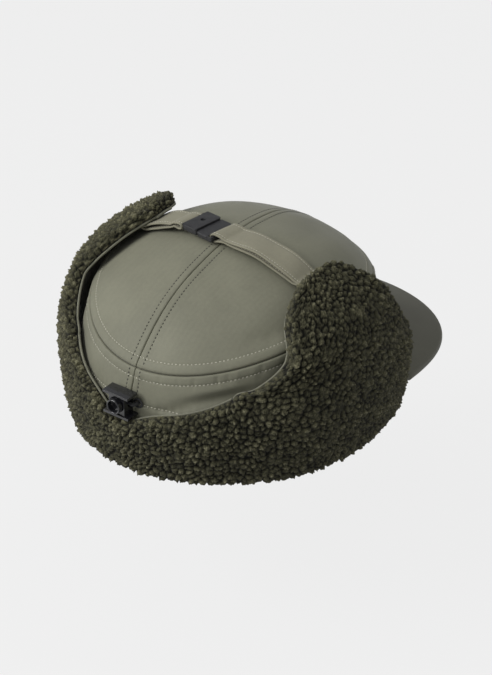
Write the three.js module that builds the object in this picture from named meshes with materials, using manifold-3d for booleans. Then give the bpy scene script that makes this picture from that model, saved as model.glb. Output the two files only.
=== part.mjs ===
// Trapper hat at rest on a table with its ear and neck flaps turned up and buckled over the crown.
// Millimetres, +Z up. The visor points to -Y, the wearer's left is +X, and the hat stands on z = 0.
// Angles go round the crown as seen from above: 0 is the wearer's left, 90 the back, 270 the front.
import * as THREE from 'three';
import { mergeVertices } from 'three/addons/utils/BufferGeometryUtils.js';
import Module from 'manifold-3d';

const wasm = await Module();
wasm.setup();

// Driving dimensions.
const CROWN_Y = 27; // centre of the crown, which puts the middle of the whole hat at y = 0
const GAP = 0.35; // clearance between sewn layers
const BASE = { side: 90, long: 102, y: -2, z: 12 }; // lower edge of the side wall, an ellipse
const RING = { side: 83.3, front: 95.2, back: 94.3, y: 0.6, z: 77.4, pitch: -4.2, saddle: 6.9 };
const DOME = { top: 113.3, roundness: 2.62, edge: 1.1, lean: -6.2 };
const WALL_BULGE = 4;
const CLOTH = 1; // shell fabric
const SEAM = THREE.MathUtils.degToRad(0.15);
const FRONT_PANEL = { from: 215, to: 325 };
const LAYERS = { cord: -2.75, channel: -4.2, lining: -5.3, sweatband: -6.8, inside: -7.8 };
const HEM = { outer: -0.8, inner: -7.2, height: 11.6 };
const VISOR = { from: 218, to: 322, halfWidth: 83.8, y: -75.9, length: 91.8, blunt: 0.7 };
const VISOR_HEIGHT = { inner: 13, outer: 6.6, sideDrop: 2.1, camber: 1.5 };
const VISOR_GRID = { wide: 160, inner: 60, rim: 80 }; // runs that a layer's margin is a share of
const VISOR_STACK = { cover: 1, board: [1.45, 2.95], under: [3.4, 4.4], boardMargin: 5 };
const FLAP = { floor: 1.5, shellFloor: 3, shell: 1.4, earFrom: 36, earTo: 70, start: -0.875 };
const FLAP_STAND = { neck: 2.4, ear: 6.6, low: 0.6, rise: 0.5 };
const PILE = { neck: 7, ear: 11, fold: 0.72, edge: 0.45, edgeReach: 0.16 };
const NECK = { from: 50.3, to: 129.7, top: 0.555, rise: 0.19, dip: 0.15, dipAt: 88, dipWidth: 9.5 };
const STRAP = { width: 20, ply: 1.3, split: 1.5, clear: 0.3, y: 5, rootLift: 0.7, endLift: 2.6 };
const STRAP_ENDS = { root: 56.5, plate: 31, catch: -1.5, sewnFrom: 60.8, sewnTo: 70, sewnLift: 3.4 };
const BUCKLE = { x: 14, y: 5, z: 114.8, width: 21.5, turn: 8, split: 0.2, corner: 1.2 };
const PLATE = { length: 15, height: 4.4, dimple: 1.6, dimpleDepth: 1, magnet: 4.3, magnetDepth: 1.6 };
const CATCH = { length: 12.5, height: 3.2, magnet: 2.3 };
const TONGUE = { length: 9, width: 14.6, height: 1.3, x: 2.6, room: 0.8 };
const BAR_SLOT = { width: 2.2, length: 20.4, fromPlate: 5.1, fromCatch: 3.8 };
const LOCK = { x: 3.4, z: 46.5, stand: 1.2, core: [11.6, 8.2, 12.8], flange: [19, 9.4, 1.6] };
const LOCK_BORE = { radius: 2, y: 2.7, pocket: 5.3, pocketFloor: 5 };
const BUTTON = { radius: 4.9, hollow: 3.9, floor: 7.2, mouth: 12, skin: 1, round: 0.4 };
const SPRING = { radius: 3.4, wire: 0.1, from: 5.2, to: 5.85, turns: 2 };
const CORD = { radius: 1.1, eyelets: [-5.6, 12.4], from: 168, to: 12, outside: 3.9, room: 1.7 };
const EYELET = { radius: 3.4, thickness: 0.6, stand: 0.45 };

const degrees = THREE.MathUtils.degToRad;
const vector = (x, y, z) => new THREE.Vector3(x, y, z);
const smooth = THREE.MathUtils.smoothstep;
const mix = THREE.MathUtils.lerp;

const COLOURS = {
  shell: [0x7d7d6c, 0.75, 0],
  visor: [0x55564b, 0.8, 0],
  webbing: [0x958f7b, 0.7, 0],
  sherpa: [0x4a4838, 0.95, 0],
  lining: [0x33342c, 0.85, 0],
  plastic: [0x2b2c2d, 0.45, 0],
  gloss: [0x1d1d1f, 0.2, 0],
  cord: [0x1f2021, 0.7, 0],
  stiffener: [0xd8d6cc, 0.6, 0],
  metal: [0x9a9c9e, 0.3, 1],
};

/** Volume enclosed by an indexed triangle mesh, negative when its faces point in. */
function signedVolume(points, index) {
  const corner = (i) => vector().fromBufferAttribute(points, i);
  let volume = 0;
  for (let i = 0; i < index.length; i += 3) {
    const [a, b, c] = [corner(index[i]), corner(index[i + 1]), corner(index[i + 2])];
    volume += a.dot(b.cross(c)) / 6;
  }
  return volume;
}

/** The same body with shared vertices merged, empty triangles dropped and its faces pointing out. */
function closed(geometry) {
  const bare = geometry.clone();
  bare.deleteAttribute('normal');
  bare.deleteAttribute('uv');
  const merged = mergeVertices(bare, 1e-4);
  const index = [];
  for (let i = 0; i < merged.index.count; i += 3) {
    const [a, b, c] = [0, 1, 2].map((n) => merged.index.getX(i + n));
    if (a !== b && b !== c && c !== a) index.push(a, b, c);
  }
  if (signedVolume(merged.attributes.position, index) < 0) index.reverse();
  merged.setIndex(index);
  return merged;
}

/** The manifold solid of a closed geometry. */
function solid(geometry) {
  const body = closed(geometry);
  return new wasm.Manifold(new wasm.Mesh({
    numProp: 3,
    vertProperties: new Float32Array(body.attributes.position.array),
    triVerts: new Uint32Array(body.index.array),
  }));
}

/** The geometry of a manifold solid. */
function fromSolid(body) {
  const mesh = body.getMesh();
  const geometry = new THREE.BufferGeometry();
  geometry.setAttribute('position', new THREE.BufferAttribute(mesh.vertProperties, 3));
  geometry.setIndex(new THREE.BufferAttribute(mesh.triVerts, 1));
  return geometry;
}

const joined = (...parts) => fromSolid(parts.map(solid).reduce((whole, part) => whole.add(part)));
const cut = (part, ...tools) => fromSolid(
  tools.map(solid).reduce((whole, tool) => whole.subtract(tool), solid(part)),
);

/** Closed solid between the two faces of a grid. pointAt takes u and v from 0 to 1, and face 0 or 1. */
function gridSolid(pointAt, columns, rows, wraps = false) {
  const positions = [];
  const index = [];
  const across = wraps ? columns : columns + 1;
  const face = across * (rows + 1);
  for (const side of [0, 1]) {
    for (let i = 0; i < across; i += 1) {
      for (let j = 0; j <= rows; j += 1) positions.push(...pointAt(i / columns, j / rows, side).toArray());
    }
  }
  const id = (i, j, side) => side * face + (i % across) * (rows + 1) + j;
  const quad = (a, b, c, d) => index.push(a, b, c, a, c, d);
  for (let i = 0; i < columns; i += 1) {
    for (let j = 0; j < rows; j += 1) {
      quad(id(i, j, 1), id(i + 1, j, 1), id(i + 1, j + 1, 1), id(i, j + 1, 1));
      quad(id(i, j, 0), id(i, j + 1, 0), id(i + 1, j + 1, 0), id(i + 1, j, 0));
    }
    quad(id(i, 0, 0), id(i + 1, 0, 0), id(i + 1, 0, 1), id(i, 0, 1));
    quad(id(i, rows, 1), id(i + 1, rows, 1), id(i + 1, rows, 0), id(i, rows, 0));
  }
  for (let j = 0; j < rows && !wraps; j += 1) {
    quad(id(0, j, 0), id(0, j, 1), id(0, j + 1, 1), id(0, j + 1, 0));
    quad(id(columns, j, 0), id(columns, j + 1, 0), id(columns, j + 1, 1), id(columns, j, 1));
  }
  const geometry = new THREE.BufferGeometry();
  geometry.setAttribute('position', new THREE.Float32BufferAttribute(positions, 3));
  geometry.setIndex(index);
  return closed(geometry);
}

/** Seam ring between the side wall and the top: longer than wide, low at the back, saddle-shaped. */
function ringPoint(t) {
  const half = Math.sin(t) < 0 ? RING.front : RING.back;
  const height = RING.z + RING.pitch * Math.sin(t) + RING.saddle * Math.cos(2 * t);
  return vector(RING.side * Math.cos(t), RING.y + half * Math.sin(t), height);
}

/** Outside of the side wall, from its lower edge at k = 0 to the seam ring at k = 1. */
function wallPoint(k, t) {
  const low = vector(BASE.side * Math.cos(t), BASE.y + BASE.long * Math.sin(t), BASE.z);
  const bulge = vector(Math.cos(t), Math.sin(t), 0).multiplyScalar(WALL_BULGE * 4 * k * (1 - k));
  return low.lerp(ringPoint(t), k).add(bulge);
}

/** Outside of the top, from its centre at r = 0 to the seam ring at r = 1. */
function domePoint(r, t) {
  const ring = ringPoint(t);
  const fall = 1 - (1 - r ** DOME.roundness) ** (1 / DOME.edge);
  const lean = DOME.lean * r * Math.sin(t) * (1 - r * r);
  return vector(r * ring.x, mix(RING.y, ring.y, r), mix(DOME.top, ring.z, fall) + lean);
}

/** Outside of the crown along a meridian: 0 is the lower edge, 1 the seam ring, 2 the centre of the top. */
function crownPoint(k, t) {
  return k <= 1 ? wallPoint(Math.max(k, 0), t) : domePoint(Math.max(2 - k, 0), t);
}

/** Outward direction of the crown, rounded over the seam ring. */
function crownNormal(k, t) {
  const [reach, swing] = [0.04, 0.01];
  const at = THREE.MathUtils.clamp(k, reach, 2 - 2 * reach);
  const up = crownPoint(at + reach, t).sub(crownPoint(at - reach, t));
  const round = crownPoint(at, t + swing).sub(crownPoint(at, t - swing));
  return round.cross(up).normalize();
}

/** A point a distance off the crown. Below the lower edge, k from 0 to -1 goes straight down to the table. */
function offCrown(k, t, distance) {
  if (k > 1.93) return crownPoint(k, t).add(vector(0, 0, distance));
  const point = crownPoint(k, t).addScaledVector(crownNormal(k, t), distance);
  if (k >= 0) return point;
  return point.setZ(mix(BASE.z, 0, -k));
}

/** A layer of the crown over a span of angles and of heights, between two distances off its outside. */
function crownLayer(angles, heights, distances, columns, rows) {
  const wraps = angles === null;
  const [from, to] = wraps ? [0, 2 * Math.PI] : angles;
  return gridSolid(
    (u, v, side) => offCrown(mix(heights[0], heights[1], v), mix(from, to, u), distances[side]),
    columns,
    rows,
    wraps,
  );
}

/** Straight pin along Y through the crown's back wall, for the cord's holes. */
function backPin(x, radius, y, length) {
  return new THREE.CylinderGeometry(radius, radius, length, 16).translate(x, y, LOCK.z);
}

/** Angle and outside of the back wall at a given x, at the height of the cord. */
function backWall(x, distance) {
  const angleAt = (k) => Math.acos(x / wallPoint(k, 1.57).setX(mix(BASE.side, RING.side, k)).x);
  const k = (LOCK.z - BASE.z) / (ringPoint(Math.PI / 2).z - BASE.z);
  return offCrown(k, angleAt(k), distance).setZ(LOCK.z);
}

function crownTop(side) {
  const middle = side === 'left' ? 0 : Math.PI;
  const quarter = Math.PI / 2;
  const panel = crownLayer([middle - quarter, middle + quarter], [1.005, 2], [-CLOTH, 0], 18, 7);
  return panel.translate(side === 'left' ? GAP / 2 : -GAP / 2, 0, 0);
}

function crownSide(side) {
  const back = Math.PI / 2;
  const front = degrees(FRONT_PANEL.from);
  const span = side === 'left' ? [Math.PI - front + SEAM, back - SEAM] : [back + SEAM, front - SEAM];
  const wall = crownLayer(span, [0, 0.995], [-CLOTH, 0], 18, 4);
  const x = CORD.eyelets[side === 'left' ? 1 : 0];
  const hole = backPin(x, CORD.radius + CORD.room, backWall(x, 0).y, 8);
  return cut(wall, hole);
}

function crownFront() {
  const span = [degrees(FRONT_PANEL.from) + SEAM, degrees(FRONT_PANEL.to) - SEAM];
  return crownLayer(span, [0, 0.995], [-CLOTH, 0], 14, 4);
}

function lining() {
  return crownLayer(null, [0.01, 2], [LAYERS.sweatband + GAP, LAYERS.lining], 32, 9);
}

function sweatband() {
  return crownLayer(null, [0.01, 0.42], [LAYERS.inside, LAYERS.sweatband], 32, 1);
}

/** Casing strip sewn inside the back half of the side wall, with the drawcord between it and the wall. */
function drawcordChannel() {
  return crownLayer([degrees(8), degrees(172)], [0.3, 0.74], [LAYERS.lining + GAP, LAYERS.channel], 24, 2);
}

/** Elastic cord: in its channel from each side of the head, out of one eyelet and in at the other. */
function drawcord() {
  const level = (LOCK.z - BASE.z) / (ringPoint(Math.PI / 2).z - BASE.z);
  const [right, left] = CORD.eyelets;
  const inside = (angle) => offCrown(level, degrees(angle), LAYERS.cord);
  const run = (angles) => angles.map(inside);
  const points = [
    ...run([CORD.from, 157, 146, 135, 124, 113, 104]),
    backWall(right - 1.7, LAYERS.cord),
    backWall(right - 0.1, -1.2),
    backWall(right, 1),
    backWall(right + 0.8, CORD.outside - 0.7),
    backWall(right + 2.6, CORD.outside),
    backWall(left - 2.6, CORD.outside),
    backWall(left - 0.8, CORD.outside - 0.7),
    backWall(left, 1),
    backWall(left + 0.1, -1.2),
    backWall(left + 1.7, LAYERS.cord),
    ...run([76, 67, 56, 45, 34, 23, CORD.to]),
  ];
  const section = new THREE.Shape();
  section.absarc(0, 0, CORD.radius, 0, 2 * Math.PI);
  return new THREE.ExtrudeGeometry(section, {
    extrudePath: new THREE.CatmullRomCurve3(points),
    steps: 60,
    curveSegments: 4,
  });
}

/** Eyelet washer, flat against the back wall. */
function eyelet(x) {
  const ring = new THREE.Shape();
  ring.absarc(0, 0, EYELET.radius, 0, 2 * Math.PI);
  ring.holes.push(new THREE.Path().absarc(0, 0, CORD.radius + 1, 0, 2 * Math.PI, true));
  const options = { depth: EYELET.thickness, bevelEnabled: false, curveSegments: 10 };
  const washer = new THREE.ExtrudeGeometry(ring, options);
  const wall = backWall(x, EYELET.stand);
  const away = backWall(x, EYELET.stand + 1).sub(wall);
  washer.lookAt(away);
  return washer.translate(wall.x, wall.y, wall.z);
}

/** Pile facing sewn under the crown's lower edge, the ring that the hat stands on. */
function bandHem() {
  const layer = (u, v, side) => {
    const t = 2 * Math.PI * u;
    return offCrown(0, t, side ? HEM.outer : HEM.inner).setZ(mix(0, HEM.height, v));
  };
  return gridSolid(layer, 40, 1, true);
}

/** Upper surface of the visor, from the crown at v = 0 to its rim at v = 1. */
function visorPoint(u, v) {
  const swing = mix(-Math.PI / 2, Math.PI / 2, u);
  const inner = offCrown(0, mix(degrees(VISOR.from), degrees(VISOR.to), u), 0.8).setZ(VISOR_HEIGHT.inner);
  const x = VISOR.halfWidth * Math.sin(swing);
  const y = VISOR.y - VISOR.length * Math.max(Math.cos(swing), 0) ** VISOR.blunt;
  const rim = vector(x, y, VISOR_HEIGHT.outer - VISOR_HEIGHT.sideDrop * Math.sin(swing) ** 2);
  return inner.lerp(rim, v).add(vector(0, 0, VISOR_HEIGHT.camber * Math.sin(Math.PI * v)));
}

/** One layer of the visor between two depths under its upper surface, drawn in from the rim by a margin. */
function visorLayer(top, bottom, margin) {
  const across = (u) => mix(margin / VISOR_GRID.wide, 1 - margin / VISOR_GRID.wide, u);
  const reach = (v) => mix(margin / VISOR_GRID.inner, 1 - margin / VISOR_GRID.rim, v);
  return gridSolid((u, v, side) => {
    const point = visorPoint(across(u), reach(v));
    return point.add(vector(0, 0, side ? -top : -bottom));
  }, 22, 4);
}

/** Share of an ear flap's thickness at an angle: none over the neck, all of it over the ears. */
function earShare(t) {
  return smooth(Math.abs(t - Math.PI / 2), degrees(FLAP.earFrom), degrees(FLAP.earTo));
}

/** How far a turned-up flap stands off the crown: more at the ears than at the neck. */
function flapStand(k, t) {
  const lift = mix(FLAP_STAND.low, 1, smooth(k, 0, FLAP_STAND.rise));
  return mix(FLAP_STAND.neck, FLAP_STAND.ear * lift, earShare(t));
}

/** Depth of a flap's pile, thinner towards its edges and rounded at the fold on the table. */
function pileDepth(k, t, edge) {
  const full = mix(PILE.neck, PILE.ear, earShare(t));
  const fold = k < 0 ? mix(1, PILE.fold, k * k) : 1;
  return full * fold * mix(PILE.edge, 1, smooth(edge, 0, PILE.edgeReach));
}

/** A flap's two solids over an outline(u, v) of [k, t]: shell fabric next to the crown, pile outside. */
function flapSolid(kind, outline, columns, rows) {
  return gridSolid((u, v, side) => {
    const [k, t] = outline(u, v);
    const stand = flapStand(k, t);
    if (kind === 'shell') {
      const point = offCrown(k, t, stand + side * FLAP.shell);
      return point.setZ(Math.max(point.z, FLAP.shellFloor));
    }
    const edge = Math.min(u, 1 - u, 1 - v);
    const depth = side ? pileDepth(k, t, edge) : 0;
    const point = offCrown(k, t, stand + FLAP.shell + GAP + depth);
    return point.setZ(Math.max(point.z, FLAP.floor));
  }, columns, rows);
}

// Edges of the wearer's right ear flap as [angle, k], from the table to the tip over the crown.
const EAR_BACK = new THREE.SplineCurve([
  [130.3, FLAP.start], [130.3, 0.3], [131, 0.72], [138, 0.79], [146, 0.89],
  [150.5, 0.99], [153, 1.12], [159, 1.21], [167, 1.275],
].map(([angle, k]) => new THREE.Vector2(angle, k)));
const EAR_FRONT = new THREE.SplineCurve([
  [210, FLAP.start], [210.5, 0.3], [209, 0.55], [203.5, 0.76], [200.5, 0.92],
  [196.5, 1.05], [192, 1.17], [187, 1.25], [180, 1.285],
].map(([angle, k]) => new THREE.Vector2(angle, k)));

function earOutline(u, v) {
  const point = EAR_BACK.getPoint(v).lerp(EAR_FRONT.getPoint(v), u);
  return [point.y, degrees(point.x)];
}

function neckOutline(u, v) {
  const angle = mix(NECK.from, NECK.to, u);
  const far = ((angle - 90) / 40) ** 2;
  const near = Math.exp(-(((angle - NECK.dipAt) / NECK.dipWidth) ** 2));
  return [mix(FLAP.start, NECK.top + NECK.rise * far - NECK.dip * near, v), degrees(angle)];
}

/** A mirrored copy, across the plane between the wearer's left and right. */
function mirrored(geometry) {
  return closed(geometry.clone().applyMatrix4(new THREE.Matrix4().makeScale(-1, 1, 1)));
}

/** Height of the crown's top surface at x on the straps' line. */
function topHeight(x) {
  const across = x / RING.side;
  const along = (STRAP.y - RING.y) / RING.back;
  return domePoint(Math.hypot(across, along), Math.atan2(along, across)).z;
}

/** One ply of a strap that follows the crown from x = from to x = to, a distance above it. */
function strapPly(from, to, distance) {
  return gridSolid((u, v, side) => {
    const x = mix(from, to, u);
    const slope = topHeight(x + 0.5) - topHeight(x - 0.5);
    const away = vector(-slope, 0, 1).normalize();
    const height = distance(u) + side * STRAP.ply;
    const y = STRAP.y + (v - 0.5) * STRAP.width;
    return vector(x, y, topHeight(x)).addScaledVector(away, height);
  }, 12, 1);
}

/** Rectangle with rounded corners, centred, as a shape. */
function roundedRectangle(width, height, radius) {
  const [x, y] = [width / 2, height / 2];
  const shape = new THREE.Shape();
  shape.moveTo(-x + radius, -y);
  shape.lineTo(x - radius, -y);
  shape.absarc(x - radius, -y + radius, radius, -Math.PI / 2, 0);
  shape.lineTo(x, y - radius);
  shape.absarc(x - radius, y - radius, radius, 0, Math.PI / 2);
  shape.lineTo(-x + radius, y);
  shape.absarc(-x + radius, y - radius, radius, Math.PI / 2, Math.PI);
  shape.lineTo(-x, -y + radius);
  shape.absarc(-x + radius, -y + radius, radius, Math.PI, 1.5 * Math.PI);
  return shape;
}

/** Flat plate of an outline, standing on z = 0 at the given height. */
function plate(shape, thickness, z) {
  const options = { depth: thickness, bevelEnabled: false, curveSegments: 3 };
  return new THREE.ExtrudeGeometry(shape, options).translate(0, 0, z);
}

const block = (size, at) => new THREE.BoxGeometry(...size).translate(...at);
const disc = (radius, height, at) => new THREE.CylinderGeometry(radius, radius, height, 20)
  .rotateX(Math.PI / 2)
  .translate(...at);

/** Cutter for the slot that a strap runs through, at x in a buckle half of the given height. */
function barSlot(x, height) {
  return block([BAR_SLOT.width, BAR_SLOT.length, height + 2], [x, 0, height / 2]);
}

/** Upper buckle half on the left strap: a plate with a finger dimple, a strap bar and a magnet pocket. */
function bucklePlate() {
  const outline = roundedRectangle(PLATE.length, BUCKLE.width, BUCKLE.corner);
  const middle = PLATE.length / 2 + BUCKLE.split;
  const body = plate(outline, PLATE.height, 0).translate(middle, 0, 0);
  const dimple = disc(PLATE.dimple, 2 * PLATE.dimpleDepth, [middle - 1.6, -0.8, PLATE.height]);
  const pocket = disc(PLATE.magnet, PLATE.magnetDepth, [middle - 1.8, 0, 1.9]);
  const recess = block([8, TONGUE.width + TONGUE.room, 2.2], [3.9, 0, 0.7]);
  const slot = barSlot(middle + BAR_SLOT.fromPlate, PLATE.height);
  return cut(body, dimple, pocket, recess, slot);
}

/** Lower buckle half on the right strap: a block with a strap bar and a tongue that slides under the plate. */
function buckleCatch() {
  const outline = roundedRectangle(CATCH.length, BUCKLE.width, BUCKLE.corner);
  const middle = -CATCH.length / 2 - BUCKLE.split;
  const body = plate(outline, CATCH.height, 0).translate(middle, 0, 0);
  const tongue = block([TONGUE.length, TONGUE.width, TONGUE.height], [TONGUE.x, 0, TONGUE.height / 2]);
  const pocket = disc(CATCH.magnet, 1, [4.4, 0, 0.9]);
  const slot = barSlot(middle - BAR_SLOT.fromCatch, CATCH.height);
  return cut(joined(body, tongue), pocket, slot);
}

/** Housing of the cord lock: a window frame with two flanges, a cord bore along X and a button pocket. */
function lockBody() {
  const { radius, y, pocket, pocketFloor } = LOCK_BORE;
  const flangeZ = (LOCK.core[2] + LOCK.flange[2]) / 2 - 0.1;
  const core = block(LOCK.core, [0, LOCK.core[1] / 2, 0]);
  const flange = (z) => block(LOCK.flange, [0, LOCK.flange[1] / 2, z]);
  const bore = new THREE.CylinderGeometry(radius, radius, 30, 16).rotateZ(Math.PI / 2).translate(0, y, 0);
  const well = new THREE.CylinderGeometry(pocket, pocket, 8, 28).translate(0, pocketFloor + 4, 0);
  return cut(joined(core, flange(flangeZ), flange(-flangeZ)), bore, well);
}

/** Hollow push button of the cord lock, an open tube with a floor, pressed towards the crown. */
function lockButton() {
  const { radius, hollow, floor, mouth, skin, round } = BUTTON;
  const profile = [
    [0, floor], [radius, floor], [radius, mouth - round], [radius - round, mouth],
    [hollow, mouth - round], [hollow, floor + skin], [0, floor + skin],
  ];
  return new THREE.LatheGeometry(profile.map(([r, y]) => new THREE.Vector2(r, y)), 24);
}

/** Coil spring in the pocket behind the button. */
function lockSpring() {
  class Coil extends THREE.Curve {
    getPoint(s, target = vector()) {
      const angle = 2 * Math.PI * SPRING.turns * s;
      const y = mix(SPRING.from, SPRING.to, s);
      return target.set(SPRING.radius * Math.cos(angle), y, SPRING.radius * Math.sin(angle));
    }
  }
  const wire = new THREE.Shape();
  wire.absarc(0, 0, SPRING.wire, 0, 2 * Math.PI);
  return new THREE.ExtrudeGeometry(wire, { extrudePath: new Coil(), steps: 32, curveSegments: 3 });
}

/** Puts a buckle piece in its place on the crown. */
function onBuckle(geometry) {
  return geometry.rotateZ(-degrees(BUCKLE.turn)).translate(BUCKLE.x, BUCKLE.y, BUCKLE.z);
}

/** Puts a cord lock piece, drawn with the wall at y = 0, on the back of the crown. */
function onLock(geometry) {
  const wall = backWall(LOCK.x, LOCK.stand);
  return geometry.translate(LOCK.x, wall.y, LOCK.z);
}

const hat = new THREE.Group();
hat.position.y = CROWN_Y;
const group = new THREE.Group();
group.add(hat);

function add(name, finish, geometry) {
  const [color, roughness, metalness] = COLOURS[finish];
  const mesh = new THREE.Mesh(closed(geometry), new THREE.MeshStandardMaterial({ color, roughness, metalness }));
  mesh.name = name;
  hat.add(mesh);
}

for (const side of ['left', 'right']) {
  add(`crown_top_${side}`, 'shell', crownTop(side));
  add(`crown_side_${side}`, 'shell', crownSide(side));
}
add('crown_front_panel', 'shell', crownFront());
add('crown_lining', 'lining', lining());
add('sweatband', 'lining', sweatband());
add('drawcord_channel', 'shell', drawcordChannel());
add('drawcord', 'cord', drawcord());
add('drawcord_eyelet_right', 'plastic', eyelet(CORD.eyelets[0]));
add('drawcord_eyelet_left', 'plastic', eyelet(CORD.eyelets[1]));
add('band_hem', 'sherpa', bandHem());

add('visor_top_cover', 'visor', visorLayer(0, VISOR_STACK.cover, 0));
add('visor_stiffener', 'stiffener', visorLayer(...VISOR_STACK.board, VISOR_STACK.boardMargin));
add('visor_under_cover', 'visor', visorLayer(...VISOR_STACK.under, 0));

const earShell = flapSolid('shell', earOutline, 14, 12);
const earSherpa = flapSolid('sherpa', earOutline, 14, 12);
add('right_ear_flap_shell', 'shell', earShell);
add('right_ear_flap_sherpa', 'sherpa', earSherpa);
add('left_ear_flap_shell', 'shell', mirrored(earShell));
add('left_ear_flap_sherpa', 'sherpa', mirrored(earSherpa));
add('neck_flap_shell', 'shell', flapSolid('shell', neckOutline, 18, 6));
add('neck_flap_sherpa', 'sherpa', flapSolid('sherpa', neckOutline, 18, 6));

const { root, sewnFrom, sewnTo } = STRAP_ENDS;
const sewn = () => STRAP_ENDS.sewnLift;
const lift = (u) => mix(STRAP.rootLift, STRAP.endLift, u);
const arch = (u) => STRAP.split * Math.sin(Math.PI * Math.min(u + 0.1, 1));
const upperLift = (u) => lift(u) + STRAP.ply + arch(u) + STRAP.clear;
add('left_strap_sewn_end', 'webbing', strapPly(sewnFrom, sewnTo, sewn));
add('right_strap_sewn_end', 'webbing', strapPly(-sewnFrom, -sewnTo, sewn));
add('left_strap_lower', 'webbing', strapPly(root, STRAP_ENDS.plate, lift));
add('left_strap_upper', 'webbing', strapPly(root, STRAP_ENDS.plate, upperLift));
add('right_strap_lower', 'webbing', strapPly(-root, STRAP_ENDS.catch, lift));
add('right_strap_upper', 'webbing', strapPly(-root, STRAP_ENDS.catch, upperLift));
add('buckle_plate', 'plastic', onBuckle(bucklePlate()));
add('buckle_catch', 'plastic', onBuckle(buckleCatch()));

add('cord_lock_body', 'gloss', onLock(lockBody()));
add('cord_lock_button', 'gloss', onLock(lockButton()));
add('cord_lock_spring', 'metal', onLock(lockSpring()));

export default group;
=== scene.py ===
"""Looks of a trapper hat with its pile-lined ear and neck flaps turned up and buckled over the crown.

Lengths in the geometry classes are millimetres in the hat's own frame: +Z up, the visor towards -Y and
the wearer's left towards +X. Angles go round the crown from above: 0 is the left, 90 degrees the back.
"""

import logging
import math
from collections.abc import Callable, Sequence
from dataclasses import dataclass, field
from enum import Enum

import bmesh
import bpy
import numpy as np
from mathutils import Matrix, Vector, noise
from mathutils.kdtree import KDTree

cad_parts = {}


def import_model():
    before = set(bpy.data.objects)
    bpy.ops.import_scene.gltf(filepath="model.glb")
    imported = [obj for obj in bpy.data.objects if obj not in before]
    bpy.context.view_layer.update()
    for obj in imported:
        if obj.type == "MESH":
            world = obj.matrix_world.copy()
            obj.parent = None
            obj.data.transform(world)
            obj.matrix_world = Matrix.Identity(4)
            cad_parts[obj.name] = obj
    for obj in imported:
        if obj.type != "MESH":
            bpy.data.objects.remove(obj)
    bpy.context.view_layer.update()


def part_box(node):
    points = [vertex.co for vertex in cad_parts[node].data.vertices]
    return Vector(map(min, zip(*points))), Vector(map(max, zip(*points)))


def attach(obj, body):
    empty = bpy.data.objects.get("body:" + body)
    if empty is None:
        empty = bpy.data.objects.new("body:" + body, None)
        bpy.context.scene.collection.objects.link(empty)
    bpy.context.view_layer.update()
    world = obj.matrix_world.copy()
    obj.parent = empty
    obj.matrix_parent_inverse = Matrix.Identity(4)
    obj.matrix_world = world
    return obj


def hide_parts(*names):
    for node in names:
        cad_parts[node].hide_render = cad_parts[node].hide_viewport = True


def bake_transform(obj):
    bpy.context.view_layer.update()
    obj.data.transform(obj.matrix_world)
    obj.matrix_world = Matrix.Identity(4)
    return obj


LOG = logging.getLogger("trapper_hat")
MM = 0.001
BACK = math.pi / 2
Array = np.ndarray
Colour = tuple[float, float, float]


def smoothstep(x: Array, low: float, high: float) -> Array:
    """A smooth rise from 0 at low to 1 at high."""
    w = np.clip((x - low) / (high - low), 0.0, 1.0)
    return w * w * (3.0 - 2.0 * w)


def lerp(a: Array, b: Array, w: Array) -> Array:
    """The value a share w of the way from a to b."""
    return a + (b - a) * w


def unit(v: Array) -> Array:
    """The vectors at length 1."""
    return v / np.maximum(np.linalg.norm(v, axis=-1, keepdims=True), 1e-9)


def vectors(x: Array, y: Array, z: Array) -> Array:
    """Points from three arrays of coordinates."""
    return np.stack(np.broadcast_arrays(x, y, z), axis=-1).astype(float)


def grid_normals(points: Array) -> Array:
    """Unit normals of a grid of points, from its neighbouring rows and columns."""
    return unit(np.cross(np.gradient(points, axis=1), np.gradient(points, axis=0)))


# ---------------------------------------------------------------------------------------------
# Shaders
# ---------------------------------------------------------------------------------------------


class Wire:
    """A shader socket that takes part in ordinary arithmetic; each sign adds a Math node."""

    def __init__(self, paint: "Paint", socket: bpy.types.NodeSocket) -> None:
        """Wraps a socket of a paint's node tree."""
        self.paint = paint
        self.socket = socket

    def _math(self, operation: str, *values: "Wire | float") -> "Wire":
        """The result of a Math node on the values."""
        return self.paint.node("ShaderNodeMath", {"operation": operation}, dict(enumerate(values)))

    def __add__(self, other: "Wire | float") -> "Wire":
        """The sum."""
        return self._math("ADD", self, other)

    def __sub__(self, other: "Wire | float") -> "Wire":
        """The difference."""
        return self._math("SUBTRACT", self, other)

    def __rsub__(self, other: float) -> "Wire":
        """The difference, from a number."""
        return self._math("SUBTRACT", other, self)

    def __mul__(self, other: "Wire | float") -> "Wire":
        """The product."""
        return self._math("MULTIPLY", self, other)

    __radd__ = __add__
    __rmul__ = __mul__

    def sin(self) -> "Wire":
        """The sine of an angle in radians."""
        return self._math("SINE", self)

    def ramp(self, low: float, high: float) -> "Wire":
        """0 below low, 1 above high and a smooth rise between."""
        values = {"Value": self, "From Min": low, "From Max": high}
        return self.paint.node("ShaderNodeMapRange", {"interpolation_type": "SMOOTHSTEP"}, values)


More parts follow.
